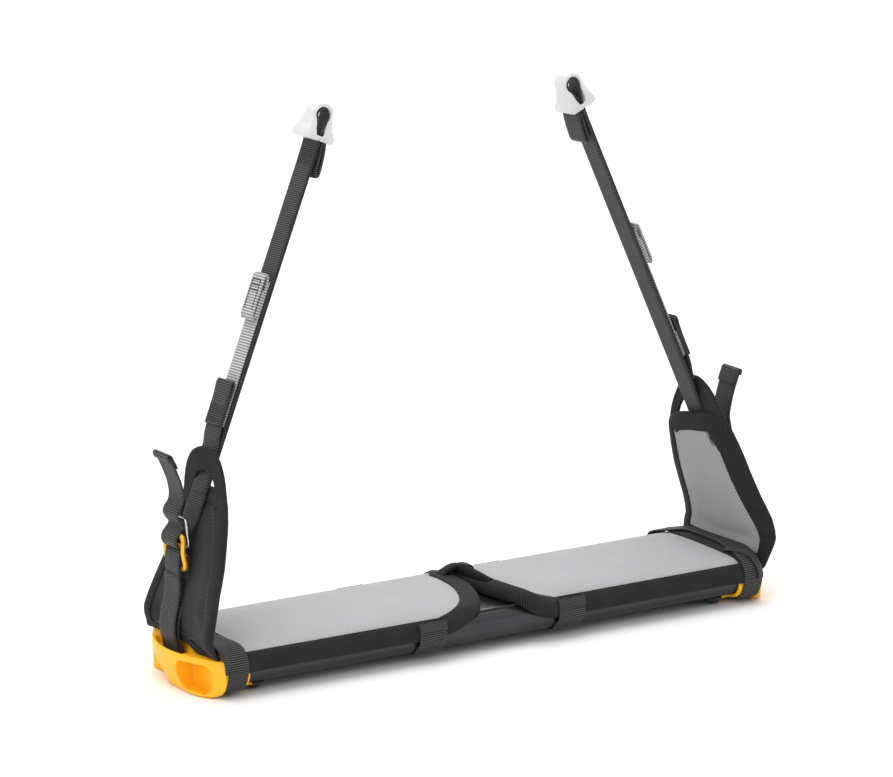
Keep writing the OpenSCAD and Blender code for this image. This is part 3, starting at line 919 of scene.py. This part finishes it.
def bands():
    for nm, f in SIDES:
        # middle band: from the pad's front edge, under the plate, to the back edge
        xc = -63 * f
        path = []
        for s in (10.2, 8.4, 6.4, 4.2, 1.8):
            Y, Z, ny, nz = prof(s)
            path.append((xc, Y + ny * 1.95, Z + nz * 1.95))
        r = 12.15
        for a in (-172, -150, -125, -100, -90):
            k = sm((-150 - a) / 22)
            rr = r + 2.9 * k
            path.append((xc, -47 + rr * cos(radians(a)), 11 + rr * sin(radians(a))))
        for y in (-30, 0, 30):
            path.append((xc, y, 11 - r))
        for a in (-90, -60, -30, -5):
            rr = r + .3 * sm((a + 60) / 50)
            path.append((xc, 47 + rr * cos(radians(a)), 11 + rr * sin(radians(a))))
        for s in (SMAX - 0.6, SMAX - 1.8, SMAX - 3.2):
            Y, Z, ny, nz = prof(s)
            path.append((xc, Y + ny * 1.9, Z + nz * 1.9))
        b = strip(f"mid_band_{nm}", path, (1, 0, 0), 24, 1.5, WEB, rib=0.2)
        hem = []
        for s in (11.4, 9.6, 7.4, 5.0):
            Y, Z, ny, nz = prof(s)
            hem.append((xc, Y + ny * 3.1, Z + nz * 3.1))
        h = strip(f"mid_hem_{nm}", hem, (1, 0, 0), 24.6, 1.2, HEM, rib=0.03)
        Y, Z, ny, nz = prof(6.0)
        n3 = V((0, ny, nz))
        ln = [V((xc + k * 11.2, Y + ny * 3.6, Z + nz * 3.6)) for k in (-1, -.5, 0, .5, 1)]
        s1 = stitches(f"mid_st_{nm}", ln, n3, THREAD, pitch=2.4, length=1.6, r=.24)
        ob = join(f"middle_band_{nm}", [b, h, s1])
        put(ob, "seat", "webbing", f"mid_band_{nm}")
        # end band: closed ring round pad, plate and sleeve of the cap, drawn outwards on top
        pts = []
        base = band_path(2.35, 3.75)
        for Y, Z in base:
            top = sm((Z - 22) / 9)
            back = sm((Y + 58) / 45)
            x = -233.6 - 8.0 * top * back * sm((52 - Y) / 22) + 9.0 * sm((Y - 26) / 28)
            z = Z + 0.4 * top * back - 1.3 * sm((Y - 28) / 20) * top
            pts.append((x * f, Y, z))
        b = strip(f"end_band_{nm}", pts, (1, 0, 0), 17, 1.6, WEB, rib=0.18, closed=True)
        # narrow strand beside it
        if f > 0:
            c = [(-240.6, -62.0, 14), (-241.2, -62.4, 19), (-242.0, -60.6, 24.6), (-243.2, -55.5, 30.2), (-245.2, -46, 33.4), (-247.2, -34, 34.2), (-248.6, -22, 33.6)]
            d = strip(f"end_strand_{nm}", c, (1, 0.25, 0), 9.0, 1.5, WEB, rib=0.12)
        else:
            c = [(-226.0, -34, 32.6), (-229.0, -41, 33.4), (-232.6, -48.5, 33.2), (-236.2, -56.5, 30.6), (-238.6, -61.6, 25.0), (-239.6, -64.2, 18.4), (-239.8, -64.2, 14)]
            c = [(-x, y, z) for x, y, z in c]
            d = strip(f"end_strand_{nm}", c, (1, 0.45, 0), 7.0, 1.2, HEM, rib=0.04)
        ob = join(f"end_bands_{nm}", [b, d])
        put(ob, "seat", "webbing", f"end_band_{nm}")


def centre_loop():
    def K(pts, k=0.74):
        return [(15.0 + (x - 12) * k, 25 + (y - 25) * k, 32.4 + (z - 33.4) * k) for x, y, z in pts]
    a = strip("cl_a", K([(-6, 31, 31.2), (-2, 30, 34.4), (4, 28, 38.2), (11, 25.5, 39.8), (18, 23, 38.2), (23, 21, 34.6), (27, 19.5, 32.6)]), (0.25, 1, 0), 15, 3.0, GROS, rib=0.0, step=0.8,
              widths=[(0, 13), (.5, 10.5), (1, 11)], thicks=[(0, 2.4), (.45, 4.4), (1, 2.4)])
    b = strip("cl_b", K([(13, 35.5, 32.6), (17, 34, 37.4), (23, 31.5, 38.6), (28.5, 29, 36.6), (30.5, 28, 33)]), (0.35, 1, 0), 8, 2.2, WEBS, rib=0.08, step=0.6)
    c = tube("cl_c", [(10, 35, 33.2), (13, 30, 34.4), (16, 22, 35.4), (17.5, 11, 35.0), (18.5, 0, 33.9), (19.5, -14, 33.0)], 4.0, GROS, radii=[(0, 2.2), (.3, 4.2), (.75, 4.0), (1, 3.2)], flat=.8)
    d = strip("cl_d", [(18, 18, 32.5), (16.4, 18.2, 36.4), (18, 18.4, 39.4), (21, 18.0, 38.8), (23, 17.6, 36), (23.6, 17.4, 32.4)], (0, 1, 0), 6.5, 1.5, WEBS, rib=0.06, step=0.6)
    ob = join("centre_loop", [a, b, c, d])
    put(ob, "seat", "webbing", "pad_loop")


# ------------------------------------------------------------------ end caps
def remeshed(name, src, voxel, smooth, mat, cuts=(), adds=()):
    me = bpy.data.objects[src].data.copy() if isinstance(src, str) else src
    ob = bpy.data.objects.new(name, me)
    bpy.context.scene.collection.objects.link(ob)
    ob.data.materials.clear()
    for c in list(adds):
        m = ob.modifiers.new("b", "BOOLEAN")
        m.operation = "UNION"
        m.object = c
    for c in list(cuts):
        m = ob.modifiers.new("b", "BOOLEAN")
        m.operation = "DIFFERENCE"
        m.object = c
    m = ob.modifiers.new("r", "REMESH")
    m.mode = "VOXEL"
    m.voxel_size = voxel * .001
    m.use_smooth_shade = True
    m = ob.modifiers.new("s", "SMOOTH")
    m.factor = 0.5
    m.iterations = smooth
    dg = bpy.context.evaluated_depsgraph_get()
    new = bpy.data.meshes.new_from_object(ob.evaluated_get(dg))
    ob.modifiers.clear()
    ob.data = new
    new.materials.clear()
    new.materials.append(mat)
    for p in new.polygons:
        p.use_smooth = True
    for c in list(cuts) + list(adds):
        bpy.data.objects.remove(c)
    return ob


def prism(name, outline, z0, z1):
    n = len(outline)
    v = [(x, y, z0) for x, y in outline] + [(x, y, z1) for x, y in outline]
    fc = [tuple(range(n))[::-1], tuple(range(n, 2 * n))] + [(i, (i + 1) % n, n + (i + 1) % n, n + i) for i in range(n)]
    return make(name, v, fc, [], smooth=False)


def node_object(node):
    for o in bpy.data.objects:
        if o.name == node or o.name.split(".")[0] == node:
            return o
    raise KeyError(node)


def caps():
    for nm, f in SIDES:
        # shallow scoop round the webbing, open at the top
        arc = []
        for k in range(19):
            y = -22 + 52 * k / 18
            x = -176 - sqrt(83.2 ** 2 - (y + 6) ** 2)
            arc.append((x * f, y))
        arc += [(-246.2 * f, 30), (-246.2 * f, -22)]
        scoop = prism("scoop", arc, 15.5, 40)
        src = node_object(f"end_cap_{nm}").data.copy()
        ob = remeshed(f"cap_{nm}", src, 0.85, 5, CAP, cuts=[scoop])
        for v in ob.data.vertices:
            x, y, z = v.co.x * 1000 * f, v.co.y * 1000, v.co.z * 1000
            if x < -244.5:
                w = sm((-244.5 - x) / 5)
                low = sm((17 - z) / 24)
                if y > 0:
                    y -= y * 0.30 * low * w
                x += 6.0 * low * low * w * sm((y + 42) / 36) + 8.0 * w * sm((y - 4) / 26) * sm((13 - z) / 15)
                # rim flares a little at the top
                rim = sm((z - 12) / 10)
                x -= 0.9 * rim * w * sm((x * -1 - 252) / 8)
            lim = 45.5 + max(0.0, 244.5 + x) * 1.25
            if y > lim:
                y = lim + (y - lim) * .06
            v.co = V((x * f, y, z)) * .001
        ob.data.materials.append(RIVET)
        for q in ob.data.polygons:
            if abs(q.center.x) < .2138:
                q.material_index = 1
        put(ob, "seat", "cap", f"end_cap_{nm}")


# ------------------------------------------------------------------ wings
FRONT = [(24, 256.2, -55.1), (30, 257, -57.6), (36, 256.6, -59.5), (42, 255.9, -60.6), (50, 254.5, -60.8), (60, 252, -60), (70, 248.3, -57.1), (80, 244.2, -54.6), (90, 240.5, -52.2),
         (100, 237.4, -49.2), (110, 234.5, -46.4), (120, 231.6, -42.5), (130, 228.7, -37.5), (140, 226.4, -32.5), (150, 224.6, -27.1), (160, 223, -21)]
BACK = [(30, 246.9, 49.2), (36, 248.3, 50), (42, 249.2, 48.7), (50, 247.1, 47.1), (60, 243.5, 45), (70, 239.3, 43.1), (80, 235, 41.4), (90, 230.9, 39.9), (100, 227.4, 38),
        (110, 224.4, 36.3), (120, 222.2, 35), (130, 220.9, 34.1), (140, 221, 33.1), (150, 222.5, 28), (160, 224, 24)]
MIDIN = [(24, 6.0), (36, 6.6), (55, 6.4), (74, 5.6), (95, 3.0), (112, 1.4), (122, 2.0), (131, 3.2), (138, 4.0), (146, 2.0), (160, 0)]
WZ0 = 26.0
WTOP = [(0, 127), (.12, 133.2), (.36, 137), (.8, 140.5), (.93, 139.5), (1, 134)]
WFRONT = [(26, 8.5), (39, 11), (64, 16.5), (90, 18.5), (127, 23)]
WBACK = [(34, 12), (77, 13), (100, 9.5), (121, 6.2)]


def wing_mid(t, z):
    """Middle surface of the left wing; t runs from the back edge (0) to the front edge (1)."""
    fx, fy = table(FRONT, z)
    bx, by = table(BACK, z)
    m = table(MIDIN, z)[0]
    x = -lerp(bx, fx, t) + 4 * t * (1 - t) * m
    # front part bulges outwards
    return V((x, lerp(by, fy, t), z))


def wing_chord(z):
    return (wing_mid(1, z) - wing_mid(0, z)).length


def wing_half(t, z):
    e = min(1.0, 4 * t * (1 - t) * 1.5)
    v = sm((z - 20) / 22) * sm((150 - z) / 34)
    return 1.1 + 2.3 * sqrt(max(0, e)) * v


def wing_point(p, z, k, h, f):
    """p: distance from the middle towards the front; k=1 is the inner face, k=-1 the outer face."""
    c = wing_chord(z)
    t = 0.5 + p / c
    te = max(0.0, min(1.0, t))
    a = wing_mid(te, z)
    du = wing_mid(min(1, te + .02), z) - wing_mid(max(0, te - .02), z)
    dv = wing_mid(te, z + 2) - wing_mid(te, z - 2)
    n = du.cross(dv).normalized()
    if n.x < 0:
        n = -n
    if t != te:
        a = a + du.normalized() * ((t - te) * c)
    q = a + n * (wing_half(te, z) * k + h)
    return V((q.x * f, q.y, q.z))


WSEC = [(1.0, .9, 0.2), (1.0, 1, 0.7), (0.97, 1, 0.95), (0.9, 1, 1.1), (0.65, 1, 1.25), (0.35, 1, 1.25), (0.14, 1, 1.0), (0.03, .9, 0.6), (-0.06, 0.55, 0.2), (-0.085, 0, 0),
        (-0.06, -0.55, -0.2), (0.03, -.9, -0.6), (0.14, -1, -1.0), (0.35, -1, -1.25), (0.6, -1, -1.2), (0.75, -1, -1.05), (0.8, -1, -0.8), (0.8, -.9, -0.2), (0.7, -.5, 0), (0.2, -.4, 0),
        (0.2, .4, 0), (0.9, .5, 0)]


def wings():
    for nm, f in SIDES:
        dz = 1.5 if f > 0 else -1.5

        def surf(p, z, k, h, f=f, dz=dz):
            q = wing_point(p, z, k, h, f)
            g = sm((2 * p / wing_chord(z) - .15) / .85) * sm((44 - z) / 17)
            return V((q.x + f * (14.0 * g * g if f > 0 else 5.5 * g), q.y + 4.0 * g, q.z + dz * sm((z - 40) / 40) - 9.0 * g))
        nt_, nz_ = 26, 34
        verts, faces, uvs, fm, mask = [], [], [], [], []
        for layer in (1, -1):
            for j in range(nz_ + 1):
                for i in range(nt_ + 1):
                    z = lerp(WZ0 + .8, table(WTOP, i / nt_)[0] - .8, j / nz_)
                    c = wing_chord(z)
                    p = lerp(-c / 2 + .8, c / 2 - .8, i / nt_)
                    verts.append(surf(p, z, layer, 0))
                    uvs.append((p, z))
                    de = min(c / 2 - abs(p), z - WZ0 - 3, table(WTOP, i / nt_)[0] - z)
                    mask.append(sm((de - 8) / 18))
        W = nt_ + 1
        L = W * (nz_ + 1)
        for j in range(nz_):
            for i in range(nt_):
                a = j * W + i
                faces.append((a, a + 1, a + W + 1, a + W))
                fm.append(0)
                faces.append((L + a, L + a + W, L + a + W + 1, L + a + 1))
                fm.append(1)
        rim = [i for i in range(W)] + [j * W + nt_ for j in range(1, nz_ + 1)] + [nz_ * W + i for i in range(nt_ - 1, -1, -1)] + [j * W for j in range(nz_ - 1, 0, -1)]
        for a, b in zip(rim, rim[1:] + rim[:1]):
            faces.append((a, b, L + b, L + a))
            fm.append(1)
        ob = make(f"wing_panel_{nm}", verts, faces, [MESHW, FELT], uvs, fm)
        disp = puff(ob)
        for i, (v, d, k) in enumerate(zip(ob.data.vertices, disp, mask)):
            L3 = d.length
            cap = 1.6 if i < L else 2.2
            if L3 > 1e-6:
                d = d * (min(L3, cap) / L3)
            v.co += d * (k * .001)
        # two soft folds above the lower seam, on the inner face
        for i, v in enumerate(ob.data.vertices):
            if i < L:
                z = uvs[i][1]
                p = uvs[i][0]
                g = math.exp(-((z - 43.5 - .05 * p) / 1.6) ** 2) * sm((p + 5) / 30)
                g2 = math.exp(-((z - 39.5 - .02 * p) / 1.4) ** 2) * sm((p + 25) / 30)
                v.co.x -= f * .001 * (1.3 * g + .9 * g2)
        md = ob.modifiers.new("Subdivision", "SUBSURF")
        md.levels = md.render_levels = 1

        # binding round the panel
        poly = [(wing_chord(z) / 2, z) for z in (WZ0, 31, 36, 42, 50, 60, 70, 80, 90, 100, 110, 120, 127, 134)]
        poly += [((t - .5) * wing_chord(table(WTOP, t)[0]), table(WTOP, t)[0]) for t in (.93, .8, .58, .36, .12)]
        poly += [(-wing_chord(z) / 2, z) for z in (127, 120, 110, 100, 90, 80, 70, 60, 50, 42, 36, 31, WZ0)]
        poly = chaikin(poly, 3, 6.0)

        def width(p, z):
            t = max(0.0, min(1.0, .5 + p / wing_chord(z)))
            side_w = table(WFRONT, z)[0] if p > 0 else table(WBACK, z)[0]
            edge = min(t, 1 - t) * wing_chord(z)
            top = (sm((edge - 2) / 20) if p > 0 else sm((edge + 1) / 4)) if z > 100 else 0
            low = sm((edge - 1.5) / 5) if z < 60 else 0
            return lerp(lerp(side_w, 12.5, top), 8.0, low)
        tape = edge_tape(f"wing_binding_{nm}", poly, surf, WSEC, TWILL, width)
        # stitch row on the outer and inner face beside the binding edge
        rows = []
        for k, share in ((1, .9), (-1, .7)):
            ps, nn = [], []
            for z in range(38, 128, 3):
                c = wing_chord(z)
                p = c / 2 - table(WFRONT, z)[0] * share
                a = surf(p, z, k, 1.12 * k)
                b = surf(p, z, k, 2.12 * k)
                ps.append(a)
                nn.append(b - a)
            rows.append(stitches(f"wst{k}_{nm}", ps, nn, THREADL if k < 0 else THREAD, pitch=3.0, length=2.0, r=.26))
        # doubled cloth over the upper front corner
        pv, pf, pu = [], [], []
        for h in (1.7, 0.5):
            for b in range(11):
                for a in range(11):
                    z = lerp(111, 135.5, b / 10)
                    e = lerp(3.5, lerp(20.8, 22.6, b / 10), a / 10)
                    p = wing_chord(z) / 2 - e
                    z = min(z, table(WTOP, .5 + p / wing_chord(z))[0] - 2.5)
                    soft = 0.6 * (1 if a in (0, 10) or b in (0, 10) else 0)
                    pv.append(surf(p, z, 1, h - (soft if h > 1 else 0)))
                    pu.append((p, z))
        for b in range(10):
            for a in range(10):
                q = b * 11 + a
                pf.append((q, q + 1, q + 12, q + 11))
                pf.append((121 + q, 121 + q + 11, 121 + q + 12, 121 + q + 1))
        rm = [a for a in range(11)] + [b * 11 + 10 for b in range(1, 11)] + [110 + a for a in range(9, -1, -1)] + [b * 11 for b in range(9, 0, -1)]
        for a, b in zip(rm, rm[1:] + rm[:1]):
            pf.append((a, b, 121 + b, 121 + a))
        rows.append(make("wing_patch", pv, pf, TWILL, pu))
        st = join(f"wing_stitch_{nm}", rows)

        # arch of binding above the panel, which the strap runs through
        if f > 0:
            arch = [(-233.5, -38, 104, 14), (-230.6, -34.5, 117, 15.5), (-227.8, -30.4, 129, 15.5), (-225.8, -26.2, 140, 13.5), (-224.3, -20.6, 150, 14.5), (-223.0, -12.5, 157, 17), (-222.6, -2.5, 160.6, 18.5),
                    (-222.8, 8, 159, 18.5), (-223.0, 15.5, 155.4, 18), (-223.2, 20.4, 148, 17), (-222.8, 23.4, 139, 17), (-222.4, 25.6, 129, 17), (-223.2, 27.4, 118, 15), (-226, 30, 107, 11)]
        else:
            arch = [(-232.9, -34, 104, 20), (-229.6, -30.5, 117, 22), (-227.2, -26.6, 128, 23.5), (-225.3, -22, 138, 23), (-223.9, -16.6, 148, 20.5), (-222.8, -9.5, 156, 18), (-222.4, -1, 160, 17), (-222.6, 8, 159.6, 14.5),
                    (-223, 17, 155.5, 12.5), (-223.2, 23.4, 148, 11), (-222.4, 27.5, 139, 10), (-221.9, 29.5, 129, 10), (-222.8, 30.8, 118, 10), (-226, 32, 107, 9)]
        acc = [0.0]
        for a, b in zip(arch, arch[1:]):
            acc.append(acc[-1] + (V(a[:3]) - V(b[:3])).length)
        wt = [(d / acc[-1], q[3]) for d, q in zip(acc, arch)]
        arch = [(x * f, y, z + dz) for x, y, z, w in arch]
        wd = []
        for i, p in enumerate(arch):
            a = V(arch[max(0, i - 1)])
            b = V(arch[min(len(arch) - 1, i + 1)])
            T = (b - a).normalized()
            nrm = V((f * 1.0, 0.02, -0.12)).normalized()
            wd.append(T.cross(nrm).normalized())
        ar = strip(f"wing_arch_{nm}", arch, None, 15, 2.6, TWILL, rib=0.0, step=0.8, wdirs=wd, n=12,
                   widths=wt, thicks=[(0, 2.2), (.25, 2.8), (.8, 2.8), (1, 2.0)])
        # bar tack where the arch meets the top binding
        tk = []
        for k in range(3):
            y0 = -36.5 + k * 1.3
            ps = [surf(wing_chord(z) / 2 - 21.5 - k * 1.3, z, 1, 1.5) for z in (117, 121, 125, 129, 133)]
            tk.append(stitches(f"tack{k}", ps, V((f, 0, .1)), THREAD, pitch=1.9, length=1.5, r=.26))
        tk = join(f"wing_tack_{nm}", tk)
        body = f"side_{nm}"
        for o in (ob, tape, st):
            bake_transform(o)
        for o in (ar, tk):
            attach(o, body)
        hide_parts(f"wing_{nm}")
        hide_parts(f"wing_loop_{nm}")


# ------------------------------------------------------------------ webbing of the sides
LEAN, BACKL = radians(23.1), radians(2.7)


def SF(f, x, y, s):
    """Strap frame of the side to the row frame: x towards the middle, y across, s up the strap."""
    x1 = x * cos(LEAN) + s * sin(LEAN)
    z1 = -x * sin(LEAN) + s * cos(LEAN)
    y2 = y * cos(BACKL) + z1 * sin(BACKL)
    z2 = -y * sin(BACKL) + z1 * cos(BACKL)
    return V(((-228.4 + x1) * f, 4.5 + y2, 131 + z2))


SY = V((0, cos(BACKL), -sin(BACKL)))


def xz(f, pts, y=4.5):
    return [(x * f, y, z) for x, z in pts]


def anchors():
    for nm, f in SIDES:
        a = strip("an_a", xz(f, [(-249.7, 6), (-249.8, 14), (-250.2, 22), (-252.0, 33), (-250.6, 44), (-247.2, 56), (-244.4, 66), (-243.4, 72)]), (0, 1, 0), 21.6, 2.0, WEB)
        b = strip("an_b", xz(f, [(-252.4, 6), (-252.4, 14), (-252.8, 22), (-255.2, 33), (-254.6, 44), (-252.4, 53), (-250.5, 63), (-250.2, 70), (-250.7, 76.0)]), (0, 1, 0), 22.6, 2.2, WEB)
        t = stitches("an_t", [V(p) for p in [((-251.9) * f, 4.5 + k * 2.4, 73.6) for k in range(-4, 5)]], V((-f, 0, 0.1)), THREADL, pitch=2.2, length=1.6, r=.28)
        ob = join(f"anchor_webbing_{nm}", [a, b, t])
        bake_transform(ob)
        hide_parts(f"anchor_loop_{nm}", f"anchor_strap_{nm}")
        up = strip(f"anchor_eye_{nm}", xz(f, [(-246.6, 58), (-244.2, 66), (-242.6, 74), (-241.6, 82), (-242.0, 90), (-243.8, 94.6), (-246.4, 95.6), (-249.0, 93.8), (-250.2, 89), (-250.3, 82), (-249.2, 75), (-248.3, 69), (-249.2, 61)]),
                   (0, 1, 0), 21.0, 1.9, WEB)
        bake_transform(up)


def bar_tack(name, f, x, s0, s1, y0, y1, rows, mat, nx=1):
    obs = []
    for k in range(rows):
        y = lerp(y0, y1, k / max(1, rows - 1))
        obs.append(stitches(f"{name}{k}", [SF(f, x, y, lerp(s0, s1, t / 6)) for t in range(7)], (SF(f, x + nx, y, s0) - SF(f, x, y, s0)), mat, pitch=2.1, length=1.5, r=.27))
    return obs


def straps():
    for nm, f in SIDES:
        P = lambda x, s, y=0: SF(f, x, y, s)
        main = strip("ms", [P(0, 5), P(0, 60), P(0, 120), P(0, 180), P(0, 240), P(-.2, 276), P(-.7, 284)], SY, 22, 3.4, WEB, rib=0.14)
        lay = strip("ms2", [P(-.35, 4.5), P(-.35, 60), P(-.35, 200), P(-.4, 276), P(-1, 283)], SY, 22.5, 1.1, WEBS, rib=0.0, step=2)
        eye = strip("eye", [P(-2.0, 280), P(-2.5, 286), P(-3.9, 291.5), P(-6.0, 296.6), P(-6.4, 300), P(-5.5, 303.2), P(-3.5, 305), P(-1.2, 305.3), P(1.2, 304.4), P(3.0, 302.2), P(3.4, 299.3),
                            P(2.7, 295.6), P(.9, 290.6), P(0, 285.6), P(-.2, 280)], SY, 17.6, 1.5, WEB, rib=0.12,
                    widths=[(0, 19), (.2, 17), (.4, 13), (.5, 12), (.6, 13), (.8, 17), (1, 19)])
        end = strip("end", [P(3.0, 284), P(3.6, 276), P(4.4, 268), P(4.9, 262), P(5.2, 257.5), P(6.5, 254.6), P(8.0, 256.2), P(8.2, 260.5), P(7.6, 268), P(6.4, 276), P(4.6, 283)], SY, 22, 2.0, WEB, rib=0.15)
        tk = bar_tack("tl", f, -2.0, 262, 280, -8.5, 8.5, 6, THREAD, nx=-1)
        ob = join(f"side_strap_{nm}", [main, lay, eye, end] + tk)
        put(ob, f"strap_{nm}", "webbing", f"main_strap_{nm}")

        # keeper: folded webbing sewn to the strap, the pale strap runs under it
        k1 = strip("k1", [P(-2.9, 36), P(-3.2, 42), P(-4.6, 48), P(-5.4, 55), P(-5.6, 68), P(-5.6, 82), P(-5.9, 88), P(-7.2, 90.6), P(-8.4, 88.4), P(-7.9, 83), P(-7.4, 76), P(-7.3, 66), P(-7.2, 56)],
                   SY, 22, 1.7, WEB, rib=0.12)
        tk = bar_tack("kt", f, -8.25, 58, 72, -8.5, 8.5, 7, THREAD, nx=-1)
        ob = join(f"keeper_loop_{nm}", [k1] + tk)
        put(ob, f"strap_{nm}", "webbing", f"keeper_{nm}")

        # pale webbing with its folded block
        yb = -0.5
        Q = lambda x, s: SF(f, x, yb, s)
        p1 = strip("p1", [Q(-2.9, 57), Q(-2.9, 90), Q(-2.9, 120), Q(-2.9, 150), Q(-2.9, 170)], SY, 17, 1.3, PALE, rib=0.14, pitch=2.1)
        p2 = strip("p2", [Q(-4.2, 141), Q(-4.2, 156), Q(-4.4, 168), Q(-5.4, 173), Q(-6.9, 174), Q(-8.0, 171), Q(-8.2, 164), Q(-8.2, 150), Q(-7.9, 141.5), Q(-6.6, 139.4), Q(-5.6, 141.5), Q(-5.6, 150), Q(-5.6, 162)],
                   SY, 17.4, 1.5, PALE, rib=0.14, pitch=2.1)
        p3 = strip("p3", [Q(-4.3, 57), Q(-4.4, 66), Q(-4.3, 78)], SY, 16.6, 1.1, PALE, rib=0.12, pitch=2.1)
        obs = [p1, p2, p3]
        # box stitch on the block
        for sa, sb, ya, yb2 in ((146, 169, -5.6, -5.6), (146, 169, 5.6, 5.6), (169, 169, -5.6, 5.6), (165, 165, -5.6, 5.6), (161, 161, -5.6, 5.6)):
            ps = [SF(f, -9.15, yb + lerp(ya, yb2, t / 6), lerp(sa, sb, t / 6)) for t in range(7)]
            obs.append(stitches("bs", ps, SF(f, -10, 0, 150) - SF(f, -9, 0, 150), THREAD, pitch=1.7, length=1.5, r=.5 if sa == sb else .34))
        ob = join(f"pale_webbing_{nm}", obs)
        put(ob, f"pale_{nm}", "pale_webbing", f"pale_strap_{nm}")

        # strand from the strap's foot to the buckle
        st = strip(f"strand_{nm}", [P(0, 12), P(0, 5), (-231.3 * f, 4.5, 124.5), (-233.8 * f, 4.5, 117.5), (-237.6 * f, 4.5, 112.2), (-241.4 * f, 4.5, 108.4), (-243.6 * f, 4.5, 104.6)], (0, 1, 0), 21.4, 2.3, WEB)
        tuple(SF(f, 0, 0, 5) * .001)
        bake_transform(st)
        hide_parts(f"strap_strand_{nm}")

        # free end
        if f > 0:
            tail = [(-243.4, 103.5), (-246.6, 98.6), (-250.4, 98.2), (-253.0, 101.6), (-252.4, 106.4), (-249.0, 110.6), (-246.6, 114.4), (-249.2, 118.2), (-251.4, 122.4), (-250.0, 127), (-246.9, 131),
                    (-246.0, 137), (-247.6, 146), (-251.2, 155.5), (-255.0, 163.6), (-257.6, 168.4)]
        else:
            tail = [(-243.4, 103.5), (-246.6, 98.6), (-250.6, 98.0), (-254.0, 101.0), (-253.8, 106.2), (-250.0, 110.6), (-247.4, 114.0), (-249.8, 117.6), (-251.4, 121), (-250.6, 125.6), (-249.6, 131),
                    (-250.4, 137), (-252.4, 146), (-255.0, 154.5), (-257.6, 161.4), (-259.4, 166)]
        th = [(0, 1.9), (1, 1.9)]
        t1 = strip("t1", xz(f, tail), (0, 1, 0), 22, 1.9, WEB, thicks=th, rib=0.12)
        e1, e0 = V(xz(f, tail)[-1]), V(xz(f, tail)[-2])
        T = (e1 - e0).normalized()
        N = T.cross(V((0, 1, 0))).normalized()
        roll = strip("t2", [e1 - T * 11 - N * 1.3 * f, e1 - T * 9 - N * 1.75 * f, e1 - T * 4 - N * 1.8 * f, e1 - N * 1.75 * f, e1 + T * 1.5 - N * .9 * f, e1 + T * 1.6 + N * .8 * f, e1 + N * 1.6 * f, e1 - T * 2.5 + N * 1.6 * f],
                     (0, 1, 0), 22.2, 1.5, WEB, rib=0.1)
        ob = join(f"free_end_{nm}", [t1, roll])
        put(ob, f"buckle_{nm}", "webbing", f"strap_tail_{nm}")


def buckles():
    for nm, f in SIDES:
        A = radians(5)

        def B(x, y, h):          # buckle frame plane: h up from the lower bar
            X = x * cos(A) - h * sin(A)
            Z = x * sin(A) + h * cos(A)
            return V(((-244.6 + X) * f, 4.5 + y, 82.6 + Z))
        ring = []
        for y, h in ((-13.2, 1.5), (-13.2, 12), (-13.2, 22.3), (-10.8, 24.7), (0, 24.9), (10.8, 24.7), (13.2, 22.3), (13.2, 12), (13.2, 1.5), (10.8, -0.7), (0, -0.9), (-10.8, -0.7)):
            bow = -1.2 * sin(pi * max(0, min(1, (h + 1) / 26)))
            ring.append(B(-1.6 + bow, y, h))
        r = tube("br", ring, 1.9, GOLD, step=1.0, closed=True, up=(1, 0, 0), flat=.95)
        bars = []
        for h, x, rr in ((10.2, -1.0, 1.6), (17.2, -2.2, 1.6)):
            bars.append(tube("bb", [B(x, -13, h), B(x - .3, 0, h), B(x, 13, h)], rr, GOLD, step=1.0, up=(1, 0, 0), flat=.8))
        ob = join(f"buckle_{nm}", [r] + bars)
        put(ob, f"buckle_{nm}", "buckle", f"buckle_frame_{nm}")
        st = []
        ring = [B(2.6, y, h) for y, h in ((-12.2, 17), (-12.2, 26), (-12.2, 34), (-10.0, 36.2), (0, 36.5), (10.0, 36.2), (12.2, 34), (12.2, 26), (12.2, 17), (10.0, 15), (0, 14.7), (-10.0, 15))]
        s = tube(f"buckle_slider_{nm}", ring, 1.15, STEEL, step=1.0, closed=True, up=(1, 0, 0))
        put(s, f"buckle_{nm}", "steel")


def thimbles():
    for nm, f in SIDES:
        src = node_object(f"thimble_{nm}").data.copy()
        ob = remeshed(f"thimble_sleeve_{nm}", src, 0.6, 6, THIMBLE)
        c = SF(f, 0, 0, 0)
        up = (SF(f, 0, 0, 1) - c).normalized()
        nx = (SF(f, 1, 0, 0) - c).normalized()
        for v in ob.data.vertices:
            p = v.co * 1000
            s = (p - c).dot(up)
            y = (p - c).dot(SY)
            k = lerp(0.90, 0.56, sm((s - 283) / 19))
            p += SY * (y * (k - 1))
            x = (p - c).dot(nx)
            r = sqrt((x + 1.5) ** 2 + (s - 299) ** 2)
            q = lerp(0.76, 1.0, sm((r - 5.5) / 6.5))
            p += nx * ((x + 1.5) * (q - 1)) + up * ((s - 299) * (q - 1))
            v.co = p * .001
        put(ob, f"strap_{nm}", "thimble", f"thimble_{nm}")


# ------------------------------------------------------------------ CAD parts that stay
def keep(node, mat):
    ob = node_object(node)
    if not ob.material_slots:
        ob.data.materials.append(mat)
    for s in ob.material_slots:
        s.material = mat


pads()
bands()
centre_loop()
caps()
wings()
anchors()
straps()
buckles()
thimbles()
keep("seat_plate", PLATE)
keep("cap_rivets", RIVET)
for nm, f in SIDES:
    keep(f"anchor_bar_{nm}", STEEL)
